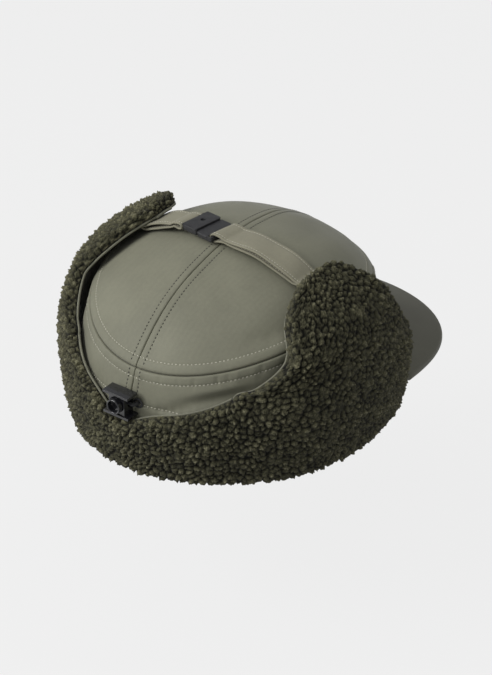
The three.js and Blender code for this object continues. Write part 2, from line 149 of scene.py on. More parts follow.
class Paint:
    """A material under construction, built round one Principled shader."""

    def __init__(self, name: str) -> None:
        """Starts a material of that name.

        Args:
            name: The material's name.
        """
        self.material = bpy.data.materials.new(name)
        self.material.use_nodes = True
        self.tree = self.material.node_tree
        self.tree.nodes.clear()
        self.shader = self.tree.nodes.new("ShaderNodeBsdfPrincipled")
        output = self.tree.nodes.new("ShaderNodeOutputMaterial")
        self.tree.links.new(self.shader.outputs["BSDF"], output.inputs["Surface"])

    def set_input(self, socket: bpy.types.NodeSocket, value: "Wire | float | tuple") -> None:
        """Links a wire to a socket, or sets its value.

        Args:
            socket: The socket.
            value: A wire, number, colour or vector.
        """
        if isinstance(value, Wire):
            self.tree.links.new(value.socket, socket)
        elif isinstance(value, tuple) and len(value) == 3 and socket.type == "RGBA":
            socket.default_value = (*value, 1.0)
        else:
            socket.default_value = value

    def node(
        self,
        kind: str,
        settings: dict[str, object] | None = None,
        values: dict[str | int, object] | None = None,
        output: str | int = 0,
    ) -> Wire:
        """Adds a node.

        Args:
            kind: The node's Blender type.
            settings: Its properties, set before its sockets.
            values: A number, colour or wire for each input, by name or place.
            output: The output that is wanted.

        Returns:
            The wanted output.
        """
        made = self.tree.nodes.new(kind)
        for name, value in (settings or {}).items():
            setattr(made, name, value)
        for name, value in (values or {}).items():
            self.set_input(made.inputs[name], value)
        return Wire(self, made.outputs[output])

    def blend(self, share: Wire | float, a: Wire | Colour, b: Wire | Colour) -> Wire:
        """The colour a share of the way from a to b."""
        return self.node("ShaderNodeMix", {"data_type": "RGBA"}, {0: share, 6: a, 7: b}, 2)

    def times(self, a: Wire, b: Wire) -> Wire:
        """The product of two colours."""
        settings = {"data_type": "RGBA", "blend_type": "MULTIPLY"}
        return self.node("ShaderNodeMix", settings, {0: 1.0, 6: a, 7: b}, 2)

    def number(self, name: str) -> Wire:
        """A number that the mesh stores at its points."""
        return self.node("ShaderNodeAttribute", {"attribute_name": name}, output="Fac")

    def place(self, name: str = "rest") -> Wire:
        """A vector that the mesh stores at its points, in millimetres."""
        return self.node("ShaderNodeAttribute", {"attribute_name": name}, output="Vector")

    def part(self, vector: Wire, axis: int) -> Wire:
        """One coordinate of a vector."""
        return self.node("ShaderNodeSeparateXYZ", None, {0: vector}, axis)

    def cloud(self, vector: Wire, per_mm: float, detail: float = 2.0) -> Wire:
        """Soft noise from 0 to 1 with that many features to a millimetre."""
        values = {"Vector": vector, "Scale": per_mm, "Detail": detail}
        return self.node("ShaderNodeTexNoise", None, values)

    def surface(self, **sockets: "Wire | float | tuple") -> None:
        """Sets sockets of the Principled shader, named with _ for each space."""
        for name, value in sockets.items():
            self.set_input(self.shader.inputs[name.replace("_", " ")], value)

    def relief(self, height: Wire, depth_mm: float, strength: float = 1.0) -> None:
        """Bumps the surface by a height from 0 to 1."""
        values = {"Strength": strength, "Distance": depth_mm * MM, "Height": height}
        self.set_input(self.shader.inputs["Normal"], self.node("ShaderNodeBump", None, values))


@dataclass(frozen=True)
class Twill:
    """Woven cotton and nylon cloth with fine slanting ribs."""

    name: str
    colour: Colour
    shade: float = 0.80
    pitch: float = 0.95
    roughness: float = 0.62
    sheen: float = 0.12

    def make(self) -> bpy.types.Material:
        """The cloth's material: ribs with painted shade in their valleys, slubs and slow changes of tone.

        Returns:
            The material.
        """
        paint = Paint(self.name)
        weave = paint.place("weave")
        rest = paint.place()
        along = paint.part(weave, 0) + paint.part(weave, 1)
        across = paint.part(weave, 0) - paint.part(weave, 1)
        wander = paint.cloud(weave, 0.9) * 1.2
        rib = (along * (2 * math.pi / self.pitch) + wander).sin() * 0.5 + 0.5
        thread = (across * (2 * math.pi / (self.pitch * 0.6))).sin() * 0.5 + 0.5
        slub = paint.cloud(rest, 0.45, 3.0)
        tone = paint.cloud(rest, 0.035)
        dark = tuple(c * self.shade for c in self.colour)
        light = tuple(min(1.0, c * (2.0 - self.shade)) for c in self.colour)
        # random tone and slubs, with painted shade: the colour darkens in the rib valleys
        tone_and_rib_shade = (tone * 0.45 + slub * 0.25 + rib * 0.30).ramp(0.22, 0.78)
        paint.surface(Base_Color=paint.blend(tone_and_rib_shade, dark, light))
        paint.surface(Roughness=self.roughness + (slub - 0.5) * 0.12)
        paint.surface(Sheen_Weight=self.sheen, Sheen_Roughness=0.5, Specular_IOR_Level=0.35)
        paint.relief(rib * 0.7 + thread * 0.2 + slub * 0.3, 0.10, 0.55)
        return paint.material


@dataclass(frozen=True)
class Curls:
    """Knotted woolly pile, brown olive, with a painted shade colour, nearly black, between the knots and a
    painted highlight on their tops.
    """

    name: str
    # painted shade: the near-black colour between the knots
    gap: Colour
    body: Colour
    # painted highlight: the colour on the knot tops
    tip_highlight: Colour
    roughness: float = 0.96

    def make(self) -> bpy.types.Material:
        """The pile's material: painted shade in its gaps and a painted highlight on its knot tops, set by how
        high each point stands in its knot.

        Returns:
            The material.
        """
        paint = Paint(self.name)
        rest = paint.place()
        height = paint.number("pile")
        fuzz = paint.cloud(rest, 1.25, 6.0)
        patch = paint.cloud(rest, 0.16)
        # painted shade: near-black gap colour in the low parts of each knot
        inner = paint.blend(height.ramp(0.06, 0.62), self.gap, self.body)
        # painted highlight: the tip colour on the high, fuzzy parts of each knot
        lit = height.ramp(0.5, 1.0) * (fuzz * 0.7 + patch * 0.5).ramp(0.3, 0.85)
        colour = paint.blend(lit, inner, self.tip_highlight)
        shade = paint.blend(fuzz.ramp(0.34, 0.64), (0.60, 0.60, 0.60), (1.22, 1.22, 1.22))
        paint.surface(Base_Color=paint.times(colour, shade))
        paint.surface(Roughness=self.roughness, Sheen_Weight=0.06, Sheen_Roughness=0.6)
        paint.surface(Specular_IOR_Level=0.10)
        paint.relief(fuzz, 1.1, 1.0)
        return paint.material


@dataclass(frozen=True)
class Moulding:
    """Moulded or turned hard material with a faint grain and slight scuffs."""

    name: str
    colour: Colour
    roughness: float
    metallic: float = 0.0
    coat: float = 0.0
    grain: float = 0.05

    def make(self) -> bpy.types.Material:
        """The material, with grain in its bump and scuffs in its roughness.

        Returns:
            The material.
        """
        paint = Paint(self.name)
        rest = paint.place()
        grain = paint.cloud(rest, 3.2, 3.0)
        scuff = paint.cloud(rest, 0.5, 3.0).ramp(0.45, 0.75)
        pale = tuple(min(1.0, c * 1.35 + 0.004) for c in self.colour)
        paint.surface(Base_Color=paint.blend(scuff, self.colour, pale))
        paint.surface(Roughness=self.roughness + scuff * 0.10 + (grain - 0.5) * 0.06)
        paint.surface(Metallic=self.metallic, Coat_Weight=self.coat)
        paint.relief(grain, self.grain, 0.5)
        return paint.material


@dataclass(frozen=True)
class Braid:
    """Woven or twisted yarn: elastic cord or sewing thread."""

    name: str
    colour: Colour
    pitch: float
    roughness: float = 0.6

    def make(self) -> bpy.types.Material:
        """The yarn's material, with crossed strands and painted shade in the hollows between them.

        Returns:
            The material.
        """
        paint = Paint(self.name)
        rest = paint.place()
        x, y, z = (paint.part(rest, axis) for axis in range(3))
        turn = 2 * math.pi / self.pitch
        strands = ((x + z) * turn).sin() * ((y - z) * turn).sin() * 0.5 + 0.5
        # painted shade: the colour darkens in the hollows between the strands
        dark = tuple(c * 0.55 for c in self.colour)
        light = tuple(min(1.0, c * 1.25) for c in self.colour)
        paint.surface(Base_Color=paint.blend(strands, dark, light))
        paint.surface(Roughness=self.roughness, Sheen_Weight=0.1)
        paint.relief(strands, 0.12, 0.7)
        return paint.material


class Finish(Enum):
    """The hat's finishes, each with the record's material slot that it belongs to."""

    SHELL = ("shell_cloth", Twill("shell_twill", (0.180, 0.178, 0.128)))
    # the same cloth as the shell, darker partly as painted shade of the down-facing visor
    VISOR = ("visor_cloth", Twill("visor_twill", (0.105, 0.103, 0.078), 0.86))
    STRAP = ("strap_webbing", Twill("strap_cloth", (0.238, 0.226, 0.162), 0.84, 0.8, 0.66))
    LINING = ("lining_cloth", Twill("lining_cloth", (0.040, 0.042, 0.032), 0.85, 0.7, 0.7))
    # pile colours: the gap colour is painted shade and the tip colour a painted highlight
    PILE = (
        "sherpa_pile",
        Curls("knotted_pile", (0.005, 0.005, 0.003), (0.094, 0.090, 0.052), (0.260, 0.246, 0.150)),
    )
    MATTE = ("matte_plastic", Moulding("matte_nylon", (0.022, 0.022, 0.024), 0.42))
    GLOSS = ("gloss_plastic", Moulding("gloss_nylon", (0.010, 0.010, 0.012), 0.16, 0.0, 0.5, 0.03))
    CORD = ("elastic_cord", Braid("elastic_braid", (0.022, 0.022, 0.023), 0.9))
    THREAD = ("shell_cloth", Braid("sewing_thread", (0.560, 0.545, 0.440), 0.4))
    # dark thread; along the middle and upright seams its darkness is painted shade of the needle holes
    DARK_THREAD = ("shell_cloth", Braid("dark_thread_and_seam_shade", (0.045, 0.044, 0.034), 0.4))
    BOARD = ("stiffener_board", Moulding("moulded_board", (0.60, 0.58, 0.52), 0.6))
    STEEL = ("spring_steel", Moulding("spring_wire", (0.60, 0.61, 0.62), 0.28, 1.0))

    def __init__(self, slot: str, recipe: Twill | Curls | Moulding | Braid) -> None:
        """Keeps the slot and the recipe."""
        self.slot = slot
        self.recipe = recipe

    @property
    def material(self) -> bpy.types.Material:
        """The finish's material, made the first time it is asked for."""
        return bpy.data.materials.get(self.recipe.name) or self.recipe.make()


# ---------------------------------------------------------------------------------------------
# Meshes
# ---------------------------------------------------------------------------------------------


@dataclass
class Skin:
    """Points and faces of a piece in the making, in millimetres, with what its finish reads."""

    points: list[Array] = field(default_factory=list)
    weave: list[Array] = field(default_factory=list)
    pile: list[Array] = field(default_factory=list)
    quads: list[Array] = field(default_factory=list)
    polygons: list[list[int]] = field(default_factory=list)
    count: int = 0

    def add(self, points: Array, weave: Array | None = None, pile: Array | None = None) -> Array:
        """Adds points.

        Args:
            points: Points of any grid shape.
            weave: Where each lies on the flat cloth, or None for its own x and z.
            pile: How high each stands in its knot, or None for zero.

        Returns:
            The points' numbers, in the same grid shape.
        """
        shape = points.shape[:-1]
        flat = points.reshape(-1, 3)
        cloth = flat[:, [0, 2, 1]] if weave is None else weave.reshape(-1, 3)
        self.points.append(flat)
        self.weave.append(cloth)
        self.pile.append(np.zeros(len(flat)) if pile is None else pile.reshape(-1))
        start = self.count
        self.count += len(flat)
        return np.arange(start, self.count).reshape(shape)

    def grid(self, ids: Array, flip: bool = False) -> None:
        """Adds the quads of a grid of numbered points.

        Args:
            ids: The numbers, by row and column.
            flip: Whether its faces look the other way.
        """
        corners = [ids[:-1, :-1], ids[1:, :-1], ids[1:, 1:], ids[:-1, 1:]]
        if flip:
            corners.reverse()
        self.quads.append(np.stack([c.reshape(-1) for c in corners], axis=-1))

    def strip(self, a: Array, b: Array, flip: bool = False) -> None:
        """Adds the quads between two lines of numbered points."""
        self.grid(np.stack([a, b]), flip)

    def slab(self, upper: Array, lower: Array, weave: Array | None = None, wraps: bool = False) -> None:
        """Adds a closed body between two grids; where it wraps, the first axis runs round.

        Args:
            upper: Points of the outer face.
            lower: Points of the inner face.
            weave: Where the points lie on the flat cloth.
            wraps: Whether the first axis runs round and closes.
        """
        top = self.add(upper, weave)
        bottom = self.add(lower, weave)
        if wraps:
            top, bottom = (np.concatenate([ids, ids[:1]]) for ids in (top, bottom))
        self.grid(top)
        self.grid(bottom, flip=True)
        self.strip(top[:, 0], bottom[:, 0], flip=True)
        self.strip(top[:, -1], bottom[:, -1])
        if not wraps:
            self.strip(top[0], bottom[0])
            self.strip(top[-1], bottom[-1], flip=True)

    def build(self, name: str, finish: Finish, origin_y: float) -> bpy.types.Object:
        """Makes the object in the row frame.

        Args:
            name: The piece's name.
            finish: What it is made of.
            origin_y: Where the hat's own frame lies along Y, in metres.

        Returns:
            The object, with smooth faces and its finish's material.
        """
        points = np.concatenate(self.points)
        mesh = bpy.data.meshes.new(name)
        quads = np.concatenate(self.quads) if self.quads else np.zeros((0, 4), int)
        loops = [quads.reshape(-1)] + [np.array(p) for p in self.polygons]
        totals = np.array([4] * len(quads) + [len(p) for p in self.polygons])
        mesh.vertices.add(len(points))
        mesh.vertices.foreach_set("co", (points * MM + (0, origin_y, 0)).ravel())
        mesh.loops.add(int(totals.sum()))
        mesh.loops.foreach_set("vertex_index", np.concatenate(loops).astype(np.int32))
        mesh.polygons.add(len(totals))
        starts = np.concatenate([[0], np.cumsum(totals)[:-1]])
        mesh.polygons.foreach_set("loop_start", starts.astype(np.int32))
        mesh.polygons.foreach_set("use_smooth", np.ones(len(totals), bool))
        mesh.update(calc_edges=True)
        mesh.validate()
        store(mesh, "weave", np.concatenate(self.weave))
        store(mesh, "rest", points)
        pile = mesh.attributes.new("pile", "FLOAT", "POINT")
        pile.data.foreach_set("value", np.concatenate(self.pile).astype(np.float32))
        made = bpy.data.objects.new(name, mesh)
        bpy.context.scene.collection.objects.link(made)
        tidy_surface(mesh)
        return dressed(made, finish)


def store(mesh: bpy.types.Mesh, name: str, values: Array) -> None:
    """Stores a vector at each point of a mesh."""
    attribute = mesh.attributes.new(name, "FLOAT_VECTOR", "POINT")
    attribute.data.foreach_set("vector", values.astype(np.float32).ravel())


def tidy_surface(mesh: bpy.types.Mesh, merge: float = 1e-6) -> None:
    """Merges points that coincide and turns every face outwards.

    Args:
        mesh: The mesh, which is changed in place.
        merge: How near two points are joined, in metres.
    """
    work = bmesh.new()
    work.from_mesh(mesh)
    bmesh.ops.remove_doubles(work, verts=work.verts, dist=merge)
    bmesh.ops.dissolve_degenerate(work, edges=work.edges, dist=merge)
    bmesh.ops.recalc_face_normals(work, faces=work.faces)
    work.to_mesh(mesh)
    work.free()
    mesh.update()


def dressed(piece: bpy.types.Object, finish: Finish) -> bpy.types.Object:
    """Gives a piece its finish's material.

    Args:
        piece: The piece.
        finish: What it is made of.

    Returns:
        The same piece.
    """
    piece.data.materials.clear()
    piece.data.materials.append(finish.material)
    return piece


def tube(path: Array, radius: float, sides: int = 10) -> Skin:
    """A round closed tube along a path of points.

    Args:
        path: Points along its middle.
        radius: Its radius in millimetres.
        sides: Sides of its section.

    Returns:
        The tube.
    """
    tangent = unit(np.gradient(path, axis=0))
    side = unit(np.cross(tangent, np.array([0.0, 0.02, 1.0])))
    up = np.cross(side, tangent)
    angle = np.linspace(0, 2 * math.pi, sides, endpoint=False)[None, :, None]
    rings = path[:, None] + radius * (np.cos(angle) * side[:, None] + np.sin(angle) * up[:, None])
    skin = Skin()
    ids = skin.add(rings)
    ids = np.concatenate([ids, ids[:, :1]], axis=1)
    skin.grid(ids)
    skin.polygons.extend([list(map(int, ids[0, :-1])), list(map(int, ids[-1, :-1][::-1]))])
    return skin


def smooth_path(points: Sequence[Sequence[float]], count: int) -> Array:
    """A smooth line through points, with count points evenly spread over its spans.

    Args:
        points: Points that the line goes through.
        count: How many points to give.

    Returns:
        The points of the line.
    """
    p = np.array(points, float)
    at = np.linspace(0, len(p) - 1, count)
    i = np.minimum(at.astype(int), len(p) - 2)
    w = (at - i)[:, None]
    a, b, c, d = (p[np.clip(i + n, 0, len(p) - 1)] for n in (-1, 0, 1, 2))
    m, n = (c - a) / 2, (d - b) / 2
    return (2 * b - 2 * c + m + n) * w**3 + (-3 * b + 3 * c - 2 * m - n) * w**2 + m * w + b


# ---------------------------------------------------------------------------------------------
# The crown's form
# ---------------------------------------------------------------------------------------------


@dataclass(frozen=True)
class CrownForm:
    """The crown's outside: an upright wall below a seam ring, and a domed top inside the ring."""

    base: tuple[float, float, float, float] = (90.0, 102.0, -2.0, 12.0)
    side: float = 83.3
    front: float = 95.2
    back: float = 94.3
    ring_y: float = 0.6
    ring_z: tuple[float, float, float] = (77.4, -4.2, 6.9)
    top: float = 113.3
    roundness: float = 2.62
    edge: float = 1.1
    lean: float = -6.2
    bulge: float = 4.0

    def ring(self, t: Array) -> Array:
        """Points of the seam ring.

        Args:
            t: Angles round the crown, in radians.

        Returns:
            The points.
        """
        level, pitch, saddle = self.ring_z
        half = np.where(np.sin(t) < 0, self.front, self.back)
        height = level + pitch * np.sin(t) + saddle * np.cos(2 * t)
        return vectors(self.side * np.cos(t), self.ring_y + half * np.sin(t), height)

    def wall(self, k: Array, t: Array) -> Array:
        """Points of the wall, from k = 0 at its lower edge to 1 at the ring.

        Args:
            k: Heights on the wall, from 0 to 1.
            t: Angles round the crown, in radians.

        Returns:
            The points.
        """
        wide, long, y, z = self.base
        low = vectors(wide * np.cos(t), y + long * np.sin(t), np.full_like(t, z))
        out = self.bulge * 4 * k * (1 - k)
        return lerp(low, self.ring(t), k[..., None]) + vectors(np.cos(t) * out, np.sin(t) * out, 0 * out)

    def dome(self, r: Array, t: Array) -> Array:
        """Points of the top, from r = 0 at its centre to 1 at the ring.

        Args:
            r: Shares of the way from the centre to the ring.
            t: Angles round the crown, in radians.

        Returns:
            The points.
        """
        ring = self.ring(t)
        fall = 1 - np.maximum(1 - r**self.roundness, 0) ** (1 / self.edge)
        height = lerp(self.top, ring[..., 2], fall) + self.lean * r * np.sin(t) * (1 - r * r)
        return vectors(r * ring[..., 0], lerp(self.ring_y, ring[..., 1], r), height)

    def point(self, k: Array, t: Array) -> Array:
        """Points of the whole crown: k from 0 to 1 on the wall and from 1 to 2 on the top.

        Args:
            k: Heights on the crown, from 0 to 2.
            t: Angles round the crown, in radians.

        Returns:
            The points.
        """
        k, t = np.broadcast_arrays(np.asarray(k, float), np.asarray(t, float))
        wall = self.wall(np.clip(k, 0, 1), t)
        dome = self.dome(np.clip(2 - k, 0, 1), t)
        return np.where((k <= 1)[..., None], wall, dome)

    def normal(self, k: Array, t: Array) -> Array:
        """Outward directions, rounded over the ring.

        Args:
            k: Heights on the crown, from 0 to 2.
            t: Angles round the crown, in radians.

        Returns:
            Directions of length 1.
        """
        reach, swing = 0.04, 0.01
        k, t = np.broadcast_arrays(np.asarray(k, float), np.asarray(t, float))
        at = np.clip(k, reach, 2 - 2 * reach)
        up = self.point(at + reach, t) - self.point(at - reach, t)
        round_it = self.point(at, t + swing) - self.point(at, t - swing)
        return unit(np.cross(round_it, up))

    def off(self, k: Array, t: Array, distance: Array | float) -> Array:
        """Points a distance off the crown; below the lower edge, k = -1 is on the table.

        Args:
            k: Heights on the crown, from -1 to 2.
            t: Angles round the crown, in radians.
            distance: How far off, in millimetres.

        Returns:
            The points.
        """
        k, t = np.broadcast_arrays(np.asarray(k, float), np.asarray(t, float))
        made = self.point(k, t) + self.normal(k, t) * np.asarray(distance, float)[..., None]
        crest = self.point(k, t) + vectors(0, 0, distance)
        made = np.where((k > 1.93)[..., None], crest, made)
        made[..., 2] = np.where(k < 0, lerp(self.base[3], 0.0, -k), made[..., 2])
        return made

    def top_length(self, t: Array) -> Array:
        """Millimetres of top to one unit of k, just above the ring."""
        step = self.dome(np.full_like(t, 0.97), t) - self.dome(np.full_like(t, 0.91), t)
        return np.linalg.norm(step, axis=-1) / 0.06

    def wall_length(self, t: Array) -> Array:
        """Millimetres of wall to one unit of k, just below the ring."""
        step = self.wall(np.full_like(t, 0.97), t) - self.wall(np.full_like(t, 0.91), t)
        return np.linalg.norm(step, axis=-1) / 0.06

    def top_height(self, x: Array, y: float) -> Array:
        """Height of the top over a line at that y."""
        across, along = x / self.side, (y - self.ring_y) / self.back
        return self.dome(np.hypot(across, along), np.arctan2(along, across))[..., 2]

    def level(self, z: float, t: Array) -> Array:
        """The wall's k at a height."""
        return (z - self.base[3]) / (self.ring(t)[..., 2] - self.base[3])


@dataclass(frozen=True)
class Fold:
    """A soft fold in the wall, from one place to another, given as degrees and millimetres of height."""

    start: tuple[float, float]
    end: tuple[float, float]
    width: float
    height: float


@dataclass(frozen=True)
class Dent:
    """A soft hollow in the top: its angle in degrees, its k, and its radius and depth."""

    angle: float
    k: float
    radius: float
    depth: float


@dataclass
class CrownCloth:
    """Relief of the crown's cloth: seams, topstitched edges, tucks, folds and slow waves."""

    form: CrownForm
    seed: int = 7
    ring_row: float = 6.0
    seam_row: float = 4.6
    front_seams: tuple[float, float] = (215.0, 325.0)
    seam_depth: float = 0.55
    channel_z: float = 45.5
    arc: float = 97.0
    groove: tuple[float, ...] = (0, 0.25, 0.5, 0.8, 1.2, 2.0, 3.5, 5.0, 5.6, 6.0, 6.4, 7.2, 9.0)
    rise: tuple[float, ...] = (-1.5, -0.75, -0.1, 0.22, 0.42, 0.52, 0.5, 0.4, 0.14, -0.14, 0.06, 0.1, 0.0)
    folds: tuple[Fold, ...] = (
        Fold((98, 43), (118, 50), 3.0, -1.3),
        Fold((104, 49), (141, 62), 3.4, -1.7),
        Fold((101, 40), (134, 52), 4.2, 1.4),
        Fold((112, 58), (138, 66), 2.6, 0.9),
        Fold((72, 30), (60, 42), 3.5, 1.0),
        Fold((80, 34), (74, 40), 2.4, -0.9),
    )
    dents: tuple[Dent, ...] = (
        Dent(147, 1.09, 5.0, 1.3),
        Dent(141, 1.12, 4.0, 0.9),
        Dent(128, 1.30, 15.0, 1.2),
        Dent(120, 1.62, 16.0, 1.2),
        Dent(62, 1.45, 18.0, 0.9),
    )
    front_fullness: float = 1.4
    tuck_count: int = 70
    wave_count: int = 14
    wave_height: float = 0.11

    def __post_init__(self) -> None:
        """Draws the tucks and waves."""
        draw = np.random.default_rng(self.seed)
        steps = draw.uniform(4.5, 15.0, self.tuck_count)
        self.tucks = np.cumsum(steps) / self.arc
        self.tuck_width = draw.uniform(0.6, 1.5, self.tuck_count)
        self.tuck_height = draw.uniform(-0.85, 0.55, self.tuck_count)
        heading = unit(draw.normal(size=(self.wave_count, 3)))
        self.waves = heading * (2 * math.pi / draw.uniform(26, 75, self.wave_count))[:, None]
        self.phases = draw.uniform(0, 2 * math.pi, self.wave_count)

    def profile(self, distance: Array, row: float) -> Array:
        """Height across a seam whose stitches are a distance row from it."""
        return np.interp(distance * self.groove[9] / row, self.groove, self.rise)

    def relief(self, k: Array, t: Array) -> Array:
        """How far the cloth stands off the plain form, in millimetres.

        Args:
            k: Heights on the crown, from 0 to 2.
            t: Angles round the crown, in radians.

        Returns:
            Millimetres off the plain form.
        """
        k, t = np.broadcast_arrays(np.asarray(k, float), np.asarray(t, float))
        place = self.form.point(k, t)
        wall = k <= 1
        rim = np.where(wall, (1 - k) * self.form.wall_length(t), (k - 1) * self.form.top_length(t))
        turn = np.mod(t, 2 * math.pi)
        upright = np.abs(turn - BACK) * self.arc
        for angle in self.front_seams:
            upright = np.minimum(upright, np.abs(turn - math.radians(angle)) * self.arc)
        seam = np.where(wall, upright, np.abs(place[..., 0]))
        a, b = self.profile(rim, self.ring_row), self.profile(seam, self.seam_row) * self.seam_depth
        made = np.maximum(a, b) + np.minimum(0, np.minimum(a, b))
        waves = np.sin(place @ self.waves.T + self.phases).sum(axis=-1) * self.wave_height
        made = made + waves * smoothstep(rim, 4, 16)
        for dent in self.dents:
            centre = self.form.point(dent.k, math.radians(dent.angle))
            gap = np.linalg.norm(place - centre, axis=-1)
            made = made - dent.depth * np.exp(-((gap / dent.radius) ** 2))
        around = smoothstep(np.cos(turn + BACK), 0.35, 1.0) * np.sin(math.pi * np.clip(0.15 + k * 0.62, 0, 1))
        made = made + self.front_fullness * around
        return made + np.where(wall, self.tucking(rim, turn) + self.folding(place, turn), 0)

    def tucking(self, rim: Array, turn: Array) -> Array:
        """Small upright tucks between the ring seam and the stitches under it.

        Args:
            rim: Distances below the ring seam, in millimetres.
            turn: Angles from 0 to a whole turn.

        Returns:
            Their height in millimetres.
        """
        made = np.zeros_like(rim)
        for angle, width, height in zip(self.tucks, self.tuck_width, self.tuck_height):
            made += height * np.exp(-(((turn - angle) * self.arc / width) ** 2))
        return made * smoothstep(rim, 0.5, 2.2) * (1 - smoothstep(rim, 5.2, 9.5))

    def folding(self, place: Array, turn: Array) -> Array:
        """The soft folds of the lower wall, and the puckered channel stitch.

        Args:
            place: Points of the plain form.
            turn: Angles from 0 to a whole turn.

        Returns:
            Their height in millimetres.
        """
        made = np.zeros_like(turn)
        across = turn * self.arc
        for fold in self.folds:
            start = np.array([math.radians(fold.start[0]) * self.arc, fold.start[1]])
            run = np.array([math.radians(fold.end[0]) * self.arc, fold.end[1]]) - start
            here = np.stack([across, place[..., 2]], axis=-1) - start
            share = np.clip(here @ run / (run @ run), 0, 1)
            gap = np.linalg.norm(here - share[..., None] * run, axis=-1)
            ends = np.sin(math.pi * np.clip(share, 0.06, 0.94))
            made += fold.height * ends * np.exp(-((gap / fold.width) ** 2))
        below = self.channel_z - place[..., 2]
        dip = -0.35 * np.exp(-((below / 0.9) ** 2)) + 0.3 * np.exp(-(((below - 2.6) / 1.6) ** 2))
        ripple = 0.22 * np.sin(across * 1.15) * np.exp(-((below / 3.5) ** 2))
        reach = smoothstep(turn, 0.16, 0.3) * (1 - smoothstep(turn, 2.85, 3.0))
        return made + (dip + ripple) * reach

    def surface(self, k: Array, t: Array, above: float = 0.0) -> Array:
        """Points of the cloth, or a distance above it."""
        return self.form.off(k, t, self.relief(k, t) + above)


# ---------------------------------------------------------------------------------------------
# Stitches
# ---------------------------------------------------------------------------------------------


@dataclass
class Stitching:
    """Rows of single stitches, each a small rounded dash of thread that dips into the cloth."""

    pitch: float = 2.4
    dash: float = 1.45
    radius: float = 0.35
    sides: int = 6
    skin: Skin = field(default_factory=Skin)

    def row(self, path: Array, normals: Array) -> None:
        """Sews a row along a path, on the side that the normals point to.

        Args:
            path: Points along the row.
            normals: Which way is outwards, at each point of the path.
        """
        steps = np.linalg.norm(np.diff(path, axis=0), axis=1)
        length = np.concatenate([[0], np.cumsum(steps)])
        count = int(length[-1] / self.pitch)
        if count < 1:
            return
        at = (np.arange(count) + 0.5) * self.pitch
        middle = np.stack([np.interp(at, length, path[:, n]) for n in range(3)], axis=-1)
        up = unit(np.stack([np.interp(at, length, normals[:, n]) for n in range(3)], axis=-1))
        ahead = np.stack([np.interp(at + 0.4, length, path[:, n]) for n in range(3)], axis=-1)
        along = unit(ahead - middle + 1e-6)
        side = unit(np.cross(along, up))
        shares = np.array([-0.5, -0.36, 0.0, 0.36, 0.5])
        widths = np.array([0.25, 0.85, 1.0, 0.85, 0.25]) * self.radius
        sinks = np.array([-0.34, 0.0, 0.12, 0.0, -0.34])
        angle = np.linspace(0, 2 * math.pi, self.sides, endpoint=False)
        centre = (
            middle[:, None]
            + along[:, None] * (shares * self.dash)[None, :, None]
            + up[:, None] * sinks[None, :, None]
        )
        spread = widths[None, :, None, None] * (
            np.cos(angle)[None, None, :, None] * side[:, None, None]
            + np.sin(angle)[None, None, :, None] * up[:, None, None]
        )
        ids = self.skin.add(centre[:, :, None] + spread)
        ids = np.concatenate([ids, ids[:, :, :1]], axis=2)
        corners = [ids[:, :-1, :-1], ids[:, 1:, :-1], ids[:, 1:, 1:], ids[:, :-1, 1:]]
        self.skin.quads.append(np.stack([c.reshape(-1) for c in corners], axis=-1))
        for end in (ids[:, 0, :-1], ids[:, -1, :-1][:, ::-1]):
            self.skin.polygons.extend(end.tolist())


# ---------------------------------------------------------------------------------------------
# Sub-assemblies
# ---------------------------------------------------------------------------------------------


@dataclass
class Part:
    """What the sub-assemblies share: the crown's form, its cloth and where the hat stands."""

    form: CrownForm
    cloth: CrownCloth
    origin_y: float

    def put(
        self, skin: Skin, name: str, finish: Finish, body: str, nodes: Sequence[str] = ()
    ) -> bpy.types.Object:
        """Builds a piece, lets it ride on a body and has it stand for CAD nodes.

        Args:
            skin: Its points and faces.
            name: Its name.
            finish: What it is made of.
            body: The body that it rides on.
            nodes: The CAD nodes that it stands for.

        Returns:
            The piece.
        """
        made = skin.build(name, finish, self.origin_y)
        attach(made, body)
        if nodes:
            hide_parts(*nodes)
        report(made, finish)
        return made

    def refined(self, node: str, name: str, finish: Finish, body: str, bevel: float) -> bpy.types.Object:
        """A copy of a CAD node with its flat faces joined, its edges rounded and a finish.

        Args:
            node: The CAD node.
            name: The new piece's name.
            finish: What it is made of.
            body: The body that it rides on.
            bevel: The rounding of its edges, in millimetres.

        Returns:
            The piece, which stands for the node.
        """
        mesh = bpy.data.objects[node].data.copy()
        mesh.name = name
        work = bmesh.new()
        work.from_mesh(mesh)
        bmesh.ops.remove_doubles(work, verts=work.verts, dist=1e-6)
        bmesh.ops.dissolve_limit(work, angle_limit=0.02, verts=work.verts, edges=work.edges)
        sharp = [e for e in work.edges if e.is_manifold and e.calc_face_angle(0.0) > 0.6]
        bmesh.ops.bevel(
            work, geom=sharp, offset=bevel * MM, offset_type="OFFSET", segments=3, profile=0.6,
            affect="EDGES", clamp_overlap=True,
        )
        bmesh.ops.triangulate(work, faces=[f for f in work.faces if len(f.verts) > 4])
        bmesh.ops.recalc_face_normals(work, faces=work.faces)
        work.to_mesh(mesh)
        work.free()
        places = np.array([v.co for v in mesh.vertices]) / MM
        places[:, 1] -= self.origin_y / MM
        store(mesh, "rest", places)
        for face in mesh.polygons:
            face.use_smooth = True
        mesh.set_sharp_from_angle(angle=math.radians(38))
        made = bpy.data.objects.new(name, mesh)
        bpy.context.scene.collection.objects.link(made)
        dressed(made, finish)
        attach(made, body)
        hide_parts(node)
        report(made, finish)
        return made


def report(piece: bpy.types.Object, finish: Finish) -> None:
    """Logs a finished piece."""
    LOG.info("%s: %d faces, %s", piece.name, len(piece.data.polygons), finish.recipe.name)


